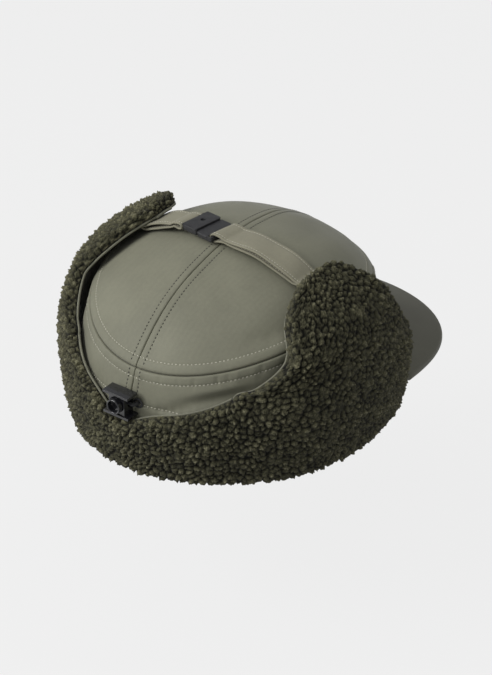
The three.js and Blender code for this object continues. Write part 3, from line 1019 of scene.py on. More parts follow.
@dataclass
class Crown(Part):
    """The cloth crown: two top halves, two side walls, a front panel, stitches, lining and hem."""

    thickness: float = 1.0
    rim_steps: tuple[float, ...] = (0, 0.25, 0.5, 0.8, 1.2, 2, 3.5, 5, 5.6, 6, 6.4, 7.2, 9)
    seam_steps: tuple[float, ...] = (0.02, 0.3, 0.55, 0.9, 1.5, 2.6, 3.6, 4.2, 4.6, 5.0, 5.7, 7, 9)
    tuck_under: float = 1.12
    lining: tuple[float, float] = (-5.3, -6.45)
    sweatband: tuple[float, float] = (-6.8, -7.8)
    channel: tuple[float, float] = (-4.2, -4.95)

    def build(self) -> None:
        """Makes every piece of the crown."""
        for side, sign in (("left", 1), ("right", -1)):
            name = f"crown_top_{side}"
            top = self.put(self._top(sign), f"{name}_cloth", Finish.SHELL, "crown", [name])
            wall = self._wall(90, -35 if sign > 0 else 215)
            made = self.put(wall, f"crown_{side}_wall_cloth", Finish.SHELL, "crown", [f"crown_side_{side}"])
        panel = self._wall(*self.cloth.front_seams)
        front = self.put(panel, "crown_front_cloth", Finish.SHELL, "crown", ["crown_front_panel"])
        self.put(self._ring_stitches(), "crown_ring_stitching", Finish.THREAD, "crown")
        # painted shade: the seam stitches take the dark thread to stand in for the shade of their needle
        # holes
        self.put(self._seam_stitches(), "crown_seam_stitching", Finish.DARK_THREAD, "crown")
        self._inside()

    def _top(self, sign: int) -> Skin:
        """One half of the top, from the middle seam to the ring.

        Args:
            sign: 1 for the left half, -1 for the right.

        Returns:
            Its points and faces.
        """
        form = self.form
        seam = np.array(self.seam_steps)
        spread = np.linspace(0, 1, 76)[1:-1]
        rim = np.array(self.rim_steps)
        inner = np.linspace(0, 1, 52)[1:]
        rough = np.concatenate([BACK - seam / 85, BACK - spread * math.pi, seam[::-1] / 85 - BACK])
        near = rim[:, None] / form.top_length(rough)[None]
        rest = lerp(near[-1][None], 0.985, inner[:, None] ** 0.9)
        r = 1 - np.concatenate([near, rest])
        across = seam[None] * np.minimum(1, r[:, : len(seam)] / 0.16)
        back = np.arccos(np.clip(across / (form.side * r[:, : len(seam)]), -1, 1))
        across = seam[None] * np.minimum(1, r[:, -len(seam) :] / 0.16)
        front = -np.arccos(np.clip(across / (form.side * r[:, -len(seam) :]), -1, 1))[:, ::-1]
        middle = lerp(back[:, -1:], front[:, :1], spread[None])
        t = np.concatenate([back, middle, front], axis=1)
        t = t if sign > 0 else math.pi - t
        upper = self.cloth.surface(2 - r, t)
        lower = self.cloth.surface(2 - r, t, -self.thickness)
        weave = upper.copy()
        weave[..., 2] = 0
        skin = Skin()
        skin.slab(upper, lower, weave)
        return skin

    def _wall(self, start: float, end: float) -> Skin:
        """A panel of the side wall between two seams, given in degrees.

        Args:
            start: The seam that it starts at, in degrees.
            end: The seam that it ends at, in degrees.

        Returns:
            Its points and faces.
        """
        arc = self.cloth.arc
        seam = np.array(self.seam_steps) / arc
        a, b = math.radians(start), math.radians(end)
        way = 1 if b > a else -1
        inner = np.linspace(a + way * seam[-1], b - way * seam[-1], int(abs(b - a) * arc / 1.5))[1:-1]
        t = np.concatenate([a + way * seam, inner, (b - way * seam)[::-1]])
        rim = np.array(self.rim_steps)
        near = rim[:, None] / self.form.wall_length(t)[None]
        rest = lerp(near[-1][None], self.tuck_under, np.linspace(0, 1, 56)[1:, None])
        k = 1 - np.concatenate([near, rest])
        angles = np.broadcast_to(t[None], k.shape)
        upper = self.cloth.surface(k, angles)
        lower = self.cloth.surface(k, angles, -self.thickness)
        weave = vectors(angles * arc, upper[..., 2], 0)
        skin = Skin()
        skin.slab(upper, lower, weave)
        return skin

    def _line(self, k: Array, t: Array) -> tuple[Array, Array]:
        """A line on the cloth with its outward directions."""
        return self.cloth.surface(k, t, 0.06), self.form.normal(k, t)

    def _ring_stitches(self) -> Skin:
        """Rows beside the ring seam and along the drawcord channel.

        Returns:
            The stitches.
        """
        sewing = Stitching()
        cloth, form = self.cloth, self.form
        t = np.linspace(0, 2 * math.pi, 900)
        for row in (cloth.ring_row, -cloth.ring_row):
            length = form.top_length(t) if row > 0 else form.wall_length(t)
            sewing.row(*self._line(1 + row / length, t))
        t = np.linspace(0.2, 2.94, 420)
        for low in (0.0, 14.5):
            sewing.row(*self._line(form.level(cloth.channel_z - low, t), t))
        return sewing.skin

    def _seam_stitches(self) -> Skin:
        """Rows beside the middle seam and the upright seams.

        Returns:
            The stitches.
        """
        sewing = Stitching()
        cloth, form = self.cloth, self.form
        for x in (cloth.seam_row, -cloth.seam_row):
            for way in (1, -1):
                r = np.linspace(0.985, 0.14, 260)
                t = way * np.arccos(np.clip(x / (form.side * r), -1, 1))
                sewing.row(*self._line(2 - r, t))
            for angle in (90.0, *cloth.front_seams):
                k = np.linspace(0.985, 0.02, 120)
                sewing.row(*self._line(k, np.full_like(k, math.radians(angle) + x / cloth.arc)))
        return sewing.skin

    def _layer(
        self, heights: tuple[float, float], depths: tuple[float, float], rows: int, columns: int = 150
    ) -> Skin:
        """A ring of cloth inside the crown between two depths, over a span of heights.

        Args:
            heights: Its lower and upper k.
            depths: Its two depths off the form, in millimetres.
            rows: Points over its height.
            columns: Points round it.

        Returns:
            Its points and faces.
        """
        t = np.linspace(0, 2 * math.pi, columns, endpoint=False)[:, None]
        k = np.linspace(*heights, rows)[None]
        k, t = np.broadcast_arrays(k, t)
        ripple = 0.12 * np.sin(t * 40) * smoothstep(k, 0, 0.3)
        skin = Skin()
        outer = self.form.off(k, t, depths[0] + ripple)
        inner = self.form.off(k, t, depths[1] + ripple)
        skin.slab(outer, inner, vectors(t * 90, outer[..., 2], 0), wraps=True)
        return skin

    def _inside(self) -> None:
        """The lining with its dome, the sweatband with its stitches, and the drawcord's channel."""
        dome = self._layer((-0.08, 1.985), self.lining, 60)
        lining = self.put(dome, "crown_lining_cloth", Finish.LINING, "crown", ["crown_lining"])
        band = self._layer((-0.06, 0.42), self.sweatband, 12)
        sweatband = self.put(band, "sweatband_cloth", Finish.LINING, "crown", ["sweatband"])
        t = np.linspace(math.radians(8), math.radians(172), 110)[:, None]
        k = np.linspace(0.3, 0.74, 12)[None]
        k, t = np.broadcast_arrays(k, t)
        channel = Skin()
        outer, inner = (self.form.off(k, t, depth) for depth in self.channel)
        channel.slab(outer, inner, vectors(t * 90, outer[..., 2], 0))
        made = self.put(channel, "drawcord_channel_cloth", Finish.SHELL, "crown", ["drawcord_channel"])
        sewing = Stitching(pitch=2.6, dash=1.9)
        t = np.linspace(0, 2 * math.pi, 900)
        for level in (0.03, 0.40):
            k = np.full_like(t, level)
            sewing.row(self.form.off(k, t, -7.85), -self.form.normal(k, t))
        self.put(sewing.skin, "sweatband_stitching", Finish.DARK_THREAD, "crown")


@dataclass(frozen=True)
class Knots:
    """The pile's knots: rounded nubs of two sizes with deep gaps between them."""

    spacing: float = 5.1
    height: float = 3.5
    squeeze: float = 1.2
    seed: int = 31
    most: int = 60000
    nearness: tuple[float, float] = (0.50, 1.3)
    sizes: tuple[float, float] = (0.62, 1.12)
    size_count: int = 20000
    crease_width: float = 2.1
    dome_reach: float = 0.96
    merging: float = 0.6
    lump_share: float = 0.40
    unevenness: float = 0.28

    def seeds(self, points: Array) -> KDTree:
        """Scatters knots over points, no two nearer than the spacing, the same way each run.

        Args:
            points: Places where a knot may stand.

        Returns:
            The knots, by place.
        """
        draw = np.random.default_rng(self.seed)
        cells: dict[tuple[int, int, int], list[Array]] = {}
        kept: list[Array] = []
        order = draw.permutation(len(points))[: self.most]
        limits = self.spacing * draw.uniform(*self.nearness, len(order))
        near = [(i, j, k) for i in (-1, 0, 1) for j in (-1, 0, 1) for k in (-1, 0, 1)]
        for place, limit in zip(points[order], limits):
            cell = tuple(int(c) for c in place // (self.spacing * self.nearness[1]))
            beside = [tuple(c + step for c, step in zip(cell, steps)) for steps in near]
            around = (q for other in beside for q in cells.get(other, ()))
            if all(math.dist(place, q) >= limit for q in around):
                cells.setdefault(cell, []).append(place)
                kept.append(place)
        tree = KDTree(len(kept))
        for number, place in enumerate(kept):
            tree.insert(place, number)
        tree.balance()
        return tree

    def stretched(self, points: Array) -> Array:
        """The points with heights spread, so that the knots come out wider than tall."""
        return points * (1.0, 1.0, self.squeeze)

    def heights(self, points: Array, tree: KDTree) -> Array:
        """How high each point stands, from 0 in a gap to about 1 on a knot.

        Args:
            points: Points of the plain pile.
            tree: The knots, by place.

        Returns:
            The height at each point.
        """
        noise.seed_set(self.seed)  # noise_vector takes its offsets from the clock otherwise
        draw = np.random.default_rng(self.seed + 1).uniform(*self.sizes, self.size_count)
        made = np.empty(len(points))
        for n, place in enumerate(self.stretched(points)):
            here = Vector(place)
            wobble = noise.noise_vector(here * 0.4) * 1.1 + noise.noise_vector(here * 1.1) * 0.35
            (_, knot, first), (_, _, second) = tree.find_n(here + wobble, 2)
            merged = max(0.0, noise.noise(here * 0.17))
            crease = min(1.0, (second - first) / self.crease_width)
            crease += (1.0 - crease) * min(self.merging, merged)
            dome = math.sqrt(max(0.0, 1.0 - (first / (self.spacing * self.dome_reach)) ** 2))
            small = noise.voronoi(here * 0.66 + wobble * 0.4)[0]
            lump = min(1.0, (small[1] - small[0]) * 1.7)
            curl = noise.noise(here * 0.9) * 0.20 + noise.noise(here * 1.7) * 0.12
            clump = 1.0 + self.unevenness * noise.noise(here * 0.09)
            swell = clump * draw[knot % self.size_count] * dome * crease**0.66
            made[n] = swell * (1.0 - self.lump_share + self.lump_share * lump) + curl * crease
        return made


@dataclass
class PileGrid:
    """A pile surface in the making: its base grid, depth above the cloth and directions."""

    name: str
    base: Array
    depth: Array
    normals: Array
    body: str
    node: str

    @property
    def crest(self) -> Array:
        """The plain outer surface before its knots are raised."""
        return self.base + self.normals * self.depth[..., None]


@dataclass
class Flaps(Part):
    """The turned-up ear and neck flaps: shell cloth next to the crown and knotted pile outside."""

    shell: float = 1.4
    gap: float = 0.35
    stand: tuple[float, float, float] = (2.4, 6.6, 0.6)
    pile: tuple[float, float] = (7.0, 11.0)
    start: float = -0.875
    step: float = 0.74
    rounding: float = 5.0
    fold_height: float = 0.026
    left_reach: tuple[float, float, float] = (0.12, 0.09, 0.36)
    neck: tuple[float, float] = (49.9, 130.1)
    neck_rise: float = 65.4
    ear_back: tuple[tuple[float, float], ...] = (
        (129.9, -0.875), (129.9, 0.3), (130.2, 0.745), (138, 0.80), (146, 0.89),
        (150.5, 0.99), (153, 1.12), (159, 1.21), (167, 1.275),
    )
    ear_front: tuple[tuple[float, float], ...] = (
        (210, -0.875), (210.5, 0.3), (209, 0.55), (203.5, 0.76), (200.5, 0.92),
        (196.5, 1.05), (192, 1.17), (187, 1.25), (180, 1.285),
    )
    knots: Knots = field(default_factory=Knots)

    def build(self) -> None:
        """Makes the three flaps and the pile hem under the crown."""
        grids = [
            self._pile(self._ear, "right_ear_flap", False, True),
            self._pile(self._left_ear, "left_ear_flap", True, True),
            self._pile(self._neck, "neck_flap", False, False),
        ]
        hem = self._hem()
        spread = np.concatenate([self.knots.stretched(g.crest).reshape(-1, 3) for g in (*grids, hem)])
        tree = self.knots.seeds(spread)
        for grid in grids:
            made = self._raise(grid, tree)
            self._bend(made, grid.body)
        self._raise_hem(hem, tree)
        self._shells()

    def _ear(self, u: Array, v: Array) -> tuple[Array, Array]:
        """Height and angle of a place on the right ear flap.

        Args:
            u: Shares of the way across, from the back edge.
            v: Shares of the way up.

        Returns:
            The height as k, and the angle.
        """
        back, front = (smooth_path(edge, 241) for edge in (self.ear_back, self.ear_front))
        middle = (back + front) / 2
        line = self.form.off(middle[:, 1], np.radians(middle[:, 0]), 9.0)
        rows = np.concatenate([[0], np.cumsum(np.linalg.norm(np.diff(line, axis=0), axis=1))])
        rows /= rows[-1]
        at = [np.interp(np.clip(v, 0, 1), rows, edge[:, n]) for edge in (back, front) for n in (0, 1)]
        over = np.maximum(v - 1, 0) * 1.5
        return lerp(at[1], at[3], u) + over, np.radians(lerp(at[0], at[2], u))

    def _left_ear(self, u: Array, v: Array) -> tuple[Array, Array]:
        """Height and angle of a place on the left ear flap, whose end lies further over the crown.

        Args:
            u: Shares of the way across, from the back edge.
            v: Shares of the way up.

        Returns:
            The height as k, and the angle.
        """
        k, t = self._ear(u, v)
        reach = smoothstep(k, 0.95, 1.28)
        return k + self.left_reach[0] * reach, t + self.left_reach[1] * reach

    def _neck(self, u: Array, v: Array) -> tuple[Array, Array]:
        """Height and angle of a place on the neck flap.

        Args:
            u: Shares of the way across, from the back edge.
            v: Shares of the way up.

        Returns:
            The height as k, and the angle.
        """
        angle = lerp(self.neck[0], self.neck[1], u)
        top = 0.555 + 0.19 * ((angle - 90) / 40) ** 2 - 0.15 * np.exp(-(((angle - 88) / 9.5) ** 2))
        below, rise = -self.start * self.form.base[3], self.neck_rise
        run = v * (below + top * rise)
        height = np.where(run < below, self.start + run / self.form.base[3], (run - below) / rise)
        return height, np.radians(angle)

    def _stand(self, k: Array, t: Array) -> Array:
        """How far a flap's shell stands off the crown.

        Args:
            k: Heights on the crown, from 0 to 2.
            t: Angles round the crown, in radians.

        Returns:
            Millimetres off the crown.
        """
        ear = smoothstep(np.abs(t - BACK), math.radians(36), math.radians(70))
        neck, side, low = self.stand
        return lerp(neck, side * lerp(low, 1.0, smoothstep(k, 0, 0.5)), ear)

    def _pile(self, outline: Callable, flap: str, mirror: bool, is_ear: bool) -> PileGrid:
        """The pile of one flap, rounded at its free edges.

        Args:
            outline: The function that gives the height and angle at u and v.
            flap: The flap's body.
            mirror: Whether it is the wearer's left copy of a right flap.
            is_ear: Whether its sides are free above the neck flap.

        Returns:
            The pile's grid.
        """
        turn = np.linspace(0, math.pi / 2, 14)
        ease = self.rounding * (1 - np.cos(turn))
        rows = int(112 / self.step) if is_ear else int(50 / self.step)
        length = 118.0 if is_ear else 50.0
        v = np.concatenate([np.linspace(0, 1 - self.rounding / length, rows), 1 - ease[::-1][1:] / length])
        probe = [self.form.off(*outline(np.full_like(v, u), v), 9.0) for u in np.linspace(0, 1, 9)]
        width = sum(np.linalg.norm(b - a, axis=-1) for a, b in zip(probe, probe[1:]))
        reach = np.minimum(self.rounding, width * 0.33)
        edge = (1 - np.cos(turn))[None] * (reach / width)[:, None]
        count = int(width.max() / self.step) - 10
        middle = lerp(edge[:, -1:], 1 - edge[:, -1:], np.linspace(0, 1, count)[None, 1:-1])
        u = np.concatenate([edge, middle, 1 - edge[:, ::-1]], axis=1)
        v = np.broadcast_to(v[:, None], u.shape)
        k, t = outline(u, v)
        ear = smoothstep(np.abs(t - BACK), math.radians(36), math.radians(70))
        full = lerp(self.pile[0], self.pile[1], ear) - 1.1
        full = full * np.where(k < 0, lerp(1, 0.72, k * k), 1)
        top = self._round((1 - v) * length / self.rounding)
        from_back = self._round(u * (width / reach)[:, None])
        from_front = self._round((1 - u) * (width / reach)[:, None])
        if is_ear:
            free = smoothstep(k, 0.66, 0.84)
            sides = lerp(1.0, from_back, free) * from_front
        else:
            sides = np.ones_like(u)
        toe = lerp(0.45, 1.0, self._round(np.clip((k - self.start) / 0.55, 0, 1)))
        if mirror:
            full = full * (1 - self.left_reach[2] * smoothstep(k, 0.65, 1.1))
        depth = full * top * sides * toe
        stand = self._stand(k, t) + self.shell + self.gap
        base = self.form.off(k, t, stand)
        normals = self.form.normal(k, t)
        base[..., 2] = np.maximum(base[..., 2], 1.5)
        if mirror:
            base, normals = base * (-1, 1, 1), normals * (-1, 1, 1)
        return PileGrid(f"{flap}_pile", base, depth, normals, flap, f"{flap}_sherpa")

    @staticmethod
    def _round(e: Array) -> Array:
        """A quarter-round rise from 0 at an edge to 1."""
        return np.sqrt(np.maximum(0, 1 - (1 - np.clip(e, 0, 1)) ** 3))

    def _raise(self, grid: PileGrid, tree: KDTree) -> bpy.types.Object:
        """Raises the knots over a flap's pile and closes its back.

        Args:
            grid: The plain pile.
            tree: The knots, by place.

        Returns:
            The flap's pile.
        """
        crest = grid.crest
        away = grid_normals(crest)
        away = np.where((np.sum(away * grid.normals, axis=-1) < 0)[..., None], -away, away)
        away = unit(away + grid.normals * 0.15)
        heights = self.knots.heights(crest.reshape(-1, 3), tree).reshape(crest.shape[:2])
        room = smoothstep(grid.depth, 0.0, 1.6)
        outer = crest + away * ((heights - 0.35) * self.knots.height * room)[..., None]
        outer[..., 2] = np.maximum(outer[..., 2], 0.4)
        skin = Skin()
        ids = skin.add(outer, None, heights)
        skin.grid(ids)
        self._close_back(skin, ids, grid.base)
        made = skin.build(grid.name, Finish.PILE, self.origin_y)
        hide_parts(grid.node)
        report(made, Finish.PILE)
        return made

    @staticmethod
    def _close_back(skin: Skin, ids: Array, base: Array) -> None:
        """Closes a grid with a coarse back that meets each point of its border.

        Args:
            skin: The skin that holds the grid.
            ids: The numbers of the grid's points.
            base: Where each point's foot lies on the back.
        """
        stride = 5
        rows, columns = ids.shape
        at_rows = sorted({*range(0, rows, stride), rows - 1})
        at_columns = sorted({*range(0, columns, stride), columns - 1})
        feet = skin.add(base[np.ix_(at_rows, at_columns)])
        rim: dict[tuple[int, int], int] = {}
        border = [(i, j) for i in range(rows) for j in (0, columns - 1)]
        border += [(i, j) for j in range(1, columns - 1) for i in (0, rows - 1)]
        border_feet = skin.add(np.array([base[i, j] for i, j in border]))
        for place, number in zip(border, border_feet):
            rim[place] = int(number)
        for a, i in enumerate(at_rows):
            for b, j in enumerate(at_columns):
                rim.setdefault((i, j), int(feet[a, b]))
        for i, i_next in zip(at_rows, at_rows[1:]):
            for j, j_next in zip(at_columns, at_columns[1:]):
                bottom = [(i, c) for c in (range(j, j_next) if i == 0 else (j,))]
                right = [(r, j_next) for r in (range(i, i_next) if j_next == columns - 1 else (i,))]
                top = [(i_next, c) for c in (range(j_next, j, -1) if i_next == rows - 1 else (j_next,))]
                left = [(r, j) for r in (range(i_next, i, -1) if j == 0 else (i_next,))]
                skin.polygons.append([rim[place] for place in bottom + right + top + left])
        for c in (0, columns - 1):
            skin.strip(ids[:, c], np.array([rim[(r, c)] for r in range(rows)]))
        for r in (0, rows - 1):
            skin.strip(ids[r], np.array([rim[(r, c)] for c in range(columns)]))

    def _bend(self, piece: bpy.types.Object, body: str) -> None:
        """Bakes the placement of a flap's piece into its mesh.

        Args:
            piece: The flap's piece.
            body: The flap's body; not used.
        """
        body == "neck_flap"
        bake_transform(piece)

    def _hem(self) -> PileGrid:
        """The pile hem that the hat stands on, as a ring round a soft roll.

        Returns:
            The plain hem.
        """
        t = np.linspace(0, 2 * math.pi, 620, endpoint=False)[:, None]
        turn = np.linspace(0, 2 * math.pi, 30, endpoint=False)[None]
        t, turn = np.broadcast_arrays(t, turn)
        out = -4.0 + 2.3 * np.cos(turn)
        core = self.form.off(np.zeros_like(t), t, -4.0)
        core[..., 2] = 5.9
        ring = self.form.off(np.zeros_like(t), t, out)
        ring[..., 2] = 5.9 + 4.9 * np.sin(turn)
        return PileGrid("hem_pile", ring, np.zeros(t.shape), unit(ring - core), "crown", "band_hem")

    def _raise_hem(self, grid: PileGrid, tree: KDTree) -> None:
        """Raises low knots round the hem.

        Args:
            grid: The plain pile.
            tree: The knots, by place.
        """
        heights = self.knots.heights(grid.base.reshape(-1, 3), tree).reshape(grid.depth.shape)
        outer = grid.base + grid.normals * ((heights - 0.4) * 1.6)[..., None]
        outer[..., 2] = np.clip(outer[..., 2], 0.0, 11.6)
        skin = Skin()
        ids = skin.add(outer, None, heights)
        ids = np.concatenate([ids, ids[:1]])
        ids = np.concatenate([ids, ids[:, :1]], axis=1)
        skin.grid(ids)
        made = self.put(skin, grid.name, Finish.PILE, "crown", [grid.node])

    def _shells(self) -> None:
        """The flaps' shell cloth, which shows as a thin rim round the pile."""
        for flap, outline, mirror, area in (
            ("right_ear_flap", self._ear, False, 0.0139),
            ("left_ear_flap", self._left_ear, True, 0.0145),
            ("neck_flap", self._neck, False, 0.0063),
        ):
            ear = outline != self._neck
            over = 0.010 if ear else 0.012
            u = np.linspace(-0.006 if ear else 0.0, 1.014 if ear else 1.0, 110)[None]
            v = np.concatenate([np.linspace(0, 1, 90), 1 + np.array([0.5, 1.0]) * over])[:, None]
            u, v = np.broadcast_arrays(u, v)
            k, _ = outline(np.clip(u, 0, 1), v)
            u = np.maximum(u, -0.003 * smoothstep(k, 0.78, 0.9))
            k, t = outline(u, v)
            stand = self._stand(k, t)
            outer = self.form.off(k, t, stand + self.shell)
            inner = self.form.off(k, t, stand)
            for face in (outer, inner):
                face[..., 2] = np.maximum(face[..., 2], 2.0)
            weave = vectors(t * 97, outer[..., 2], 0)
            if mirror:
                outer, inner = outer * (-1, 1, 1), inner * (-1, 1, 1)
            skin = Skin()
            skin.slab(outer, inner, weave)
            made = skin.build(f"{flap}_cloth", Finish.SHELL, self.origin_y)
            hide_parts(f"{flap}_shell")
            report(made, Finish.SHELL)
            self._bend(made, flap)


@dataclass
class Visor(Part):
    """The rounded visor: one cloth cover over a stiff board."""

    span: tuple[float, float] = (218.0, 322.0)
    half_width: float = 83.8
    rim_y: float = -75.9
    length: float = 91.8
    blunt: float = 0.7
    heights: tuple[float, float, float, float] = (13.0, 4.7, 0.1, 1.5)
    thickness: float = 4.4
    settle: tuple[float, float, float] = (-2.2, 0.0, 0.0)

    def build(self) -> None:
        """Makes the cover and the board in it."""
        skin = Skin()
        edge = 1 - 0.03 * (1 - np.cos(np.linspace(0, math.pi / 2, 9)))[::-1]
        v = np.concatenate([np.linspace(0, 0.97, 40)[:-1], edge[:-1], [1.0]])
        u = np.linspace(0, 1, 150)
        u, v = np.meshgrid(u, v, indexing="ij")
        upper = self._point(u, v)
        span = np.linalg.norm(upper[:, -1] - upper[:, 0], axis=-1)[:, None]
        reach = np.clip((1 - v) * span / (self.thickness / 2), 0, 1)
        inset = self.thickness / 2 * (1 - np.sqrt(1 - (1 - reach) ** 2))
        weave = upper.copy()
        top, bottom = upper.copy(), upper.copy()
        top[..., 2] -= inset
        bottom[..., 2] -= self.thickness - inset
        skin.slab(top, bottom, weave)
        cover = self.put(skin, "visor_cover", Finish.VISOR, "crown", ["visor_top_cover", "visor_under_cover"])
        board = Skin()
        u, v = np.meshgrid(np.linspace(0.03, 0.97, 60), np.linspace(0.08, 0.94, 16), indexing="ij")
        middle = self._point(u, v)
        board.slab(middle - (0, 0, 1.45), middle - (0, 0, 2.95))
        self.put(board, "visor_board", Finish.BOARD, "crown", ["visor_stiffener"])

    def _point(self, u: Array, v: Array) -> Array:
        """Points of the visor's upper side, from the crown at v = 0 to the rim at v = 1.

        Args:
            u: Shares of the way round the rim.
            v: Shares of the way out from the crown.

        Returns:
            The points.
        """
        swing = lerp(-math.pi / 2, math.pi / 2, u)
        t = np.radians(lerp(self.span[0], self.span[1], u))
        root_z, rim_z, drop, camber = self.heights
        inner = self.form.off(np.zeros_like(t), t, 0.8)
        inner[..., 2] = root_z
        y = self.rim_y - self.length * np.maximum(np.cos(swing), 0) ** self.blunt
        rim = vectors(self.half_width * np.sin(swing), y, rim_z - drop * np.sin(swing) ** 2)
        rim = rim + self.settle
        made = lerp(inner, rim, v[..., None])
        made[..., 2] += camber * np.sin(math.pi * v)
        return made


@dataclass
class Straps(Part):
    """The two doubled straps over the crown, each looped round a bar of the buckle."""

    width: float = 20.0
    ply: float = 1.25
    y: float = 5.0
    turn: float = 8.0
    root: float = 56.5
    sewn: float = 69.0
    half_section: tuple[tuple[float, float], ...] = (
        (0, 1.0), (0.5, 1.02), (0.76, 1.0), (0.80, 0.74), (0.84, 1.0), (0.94, 1.0), (0.985, 0.75), (1, 0.35),
    )

    def build(self) -> None:
        """Makes both straps with their edge stitches."""
        left_bar = [(33.0, 115.1), (30.5, 114.3), (28.3, 114.2), (26.7, 114.9), (26.3, 116.3), (27.2, 117.4),
                    (28.8, 117.75), (31.0, 117.4), (34.0, 116.6)]
        right_bar = [(-6.0, 116.3), (-2.0, 115.3), (1.0, 114.15), (3.1, 114.2), (4.15, 115.3), (4.3, 116.7),
                     (3.7, 118.2), (2.1, 118.95), (-0.5, 118.9), (-4.0, 118.5)]
        self._strap("left_strap", 1, left_bar, 31.0)
        self._strap("right_strap", -1, right_bar, -1.5)

    def _ply(self, x: Array, end: float, upper: bool) -> Array:
        """Middle of one ply in the upright plane, from the root to the buckle's end.

        Args:
            x: Places along X, in millimetres.
            end: Where it reaches the buckle, along x.
            upper: Whether it is the upper one of the two.

        Returns:
            Points as x and z.
        """
        side = np.sign(x[0])
        u = np.clip((x * side - self.root) / (end * side - self.root), 0, 1)
        lift = lerp(0.7, 2.6, u)
        if upper:
            lift = lift + self.ply + 0.35 + 1.7 * np.sin(math.pi * np.minimum(u + 0.1, 1))
        height = self.form.top_height(x, self.y)
        slope = self.form.top_height(x + 0.5, self.y) - self.form.top_height(x - 0.5, self.y)
        away = unit(np.stack([-slope, np.ones_like(x)], axis=-1))
        return np.stack([x, height], axis=-1) + away * (lift + self.ply / 2)[:, None]

    def _strap(self, name: str, side: int, bar: list[tuple[float, float]], end: float) -> None:
        """Makes one strap as a single folded band.

        Args:
            name: The strap's body.
            side: 1 for the wearer's left, -1 for the right.
            bar: Points of the loop round the buckle's bar, as x and z.
            end: Where the plies reach the buckle, along x.
        """
        near, far = bar[0][0], bar[-1][0]
        out = self._ply(np.linspace(side * self.root, near, 40), end, False)
        back = self._ply(np.linspace(side * self.root, far, 40), end, True)[::-1]
        sewn_x = np.linspace(side * self.sewn, side * (self.root + 4), 10)
        foot = self.form.top_height(sewn_x, self.y)
        sewn = np.stack([sewn_x, foot + 4.05], axis=-1)
        end_x = np.linspace(side * (self.root + 4), side * self.sewn, 10)
        cap = np.stack([end_x, self.form.top_height(end_x, self.y) + 4.05 + self.ply * 0.9], axis=-1)
        path = np.concatenate([sewn, out[1:-1], smooth_path(bar, 50), back[1:], cap])
        skin, edges = self._band(path, side)
        made = skin.build(f"{name}_band", Finish.STRAP, self.origin_y)
        nodes = [f"{name}_lower", f"{name}_upper", f"{name}_sewn_end"]
        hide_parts(*nodes)
        self.width * MM
        report(made, Finish.STRAP)
        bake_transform(made)
        sewing = Stitching(pitch=2.0, dash=1.3, radius=0.25)
        for line, normal in edges:
            sewing.row(line, normal)
        thread = sewing.skin.build(f"{name}_stitching", Finish.THREAD, self.origin_y)
        report(thread, Finish.THREAD)
        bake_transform(thread)

    def _band(self, path: Array, side: int) -> tuple[Skin, list[tuple[Array, Array]]]:
        """The closed band along a path in the upright plane, and its stitch lines.

        Args:
            path: Points of its middle, as x and z.
            side: 1 for the left, -1 for the right.

        Returns:
            The band, and its stitch lines with their outward directions.
        """
        steps = np.concatenate([[0], np.cumsum(np.linalg.norm(np.diff(path, axis=0), axis=1))])
        at = np.linspace(0, steps[-1], int(steps[-1] / 0.8))
        line = np.stack([np.interp(at, steps, path[:, n]) for n in (0, 1)], axis=-1)
        for _ in range(3):
            line[1:-1] = 0.25 * line[:-2] + 0.5 * line[1:-1] + 0.25 * line[2:]
        tangent = unit(np.gradient(line, axis=0))
        normal = np.stack([-tangent[:, 1], tangent[:, 0]], axis=-1) * (-side)
        half = np.array(self.half_section)
        across = np.concatenate([-half[:0:-1, 0], half[:, 0]])
        swell = np.concatenate([half[:0:-1, 1], half[:, 1]])
        y = across * self.width / 2
        shear = math.tan(math.radians(self.turn))
        faces = []
        for sign in (1, -1):
            x = line[:, :1] + sign * normal[:, :1] * swell * self.ply / 2
            z = line[:, 1:] + sign * normal[:, 1:] * swell * self.ply / 2
            near = 1 - smoothstep(np.abs(x - 14.0), 8, 40)
            z = z + 0.35 * np.sin(x * 0.21 + y * 0.12)
            faces.append(vectors(x + y * shear * near, self.y + y * np.ones_like(x), z))
        weave = vectors(at[:, None], y[None], 0 * y[None])
        skin = Skin()
        skin.slab(faces[0], faces[1], weave)
        up = vectors(normal[:, 0], 0 * at, normal[:, 1])
        edges = []
        for column in (4, 10):
            edges.append((faces[0][:, column] + up * 0.02, up))
            edges.append((faces[1][:, column] - up * 0.02, -up))
        return skin, edges


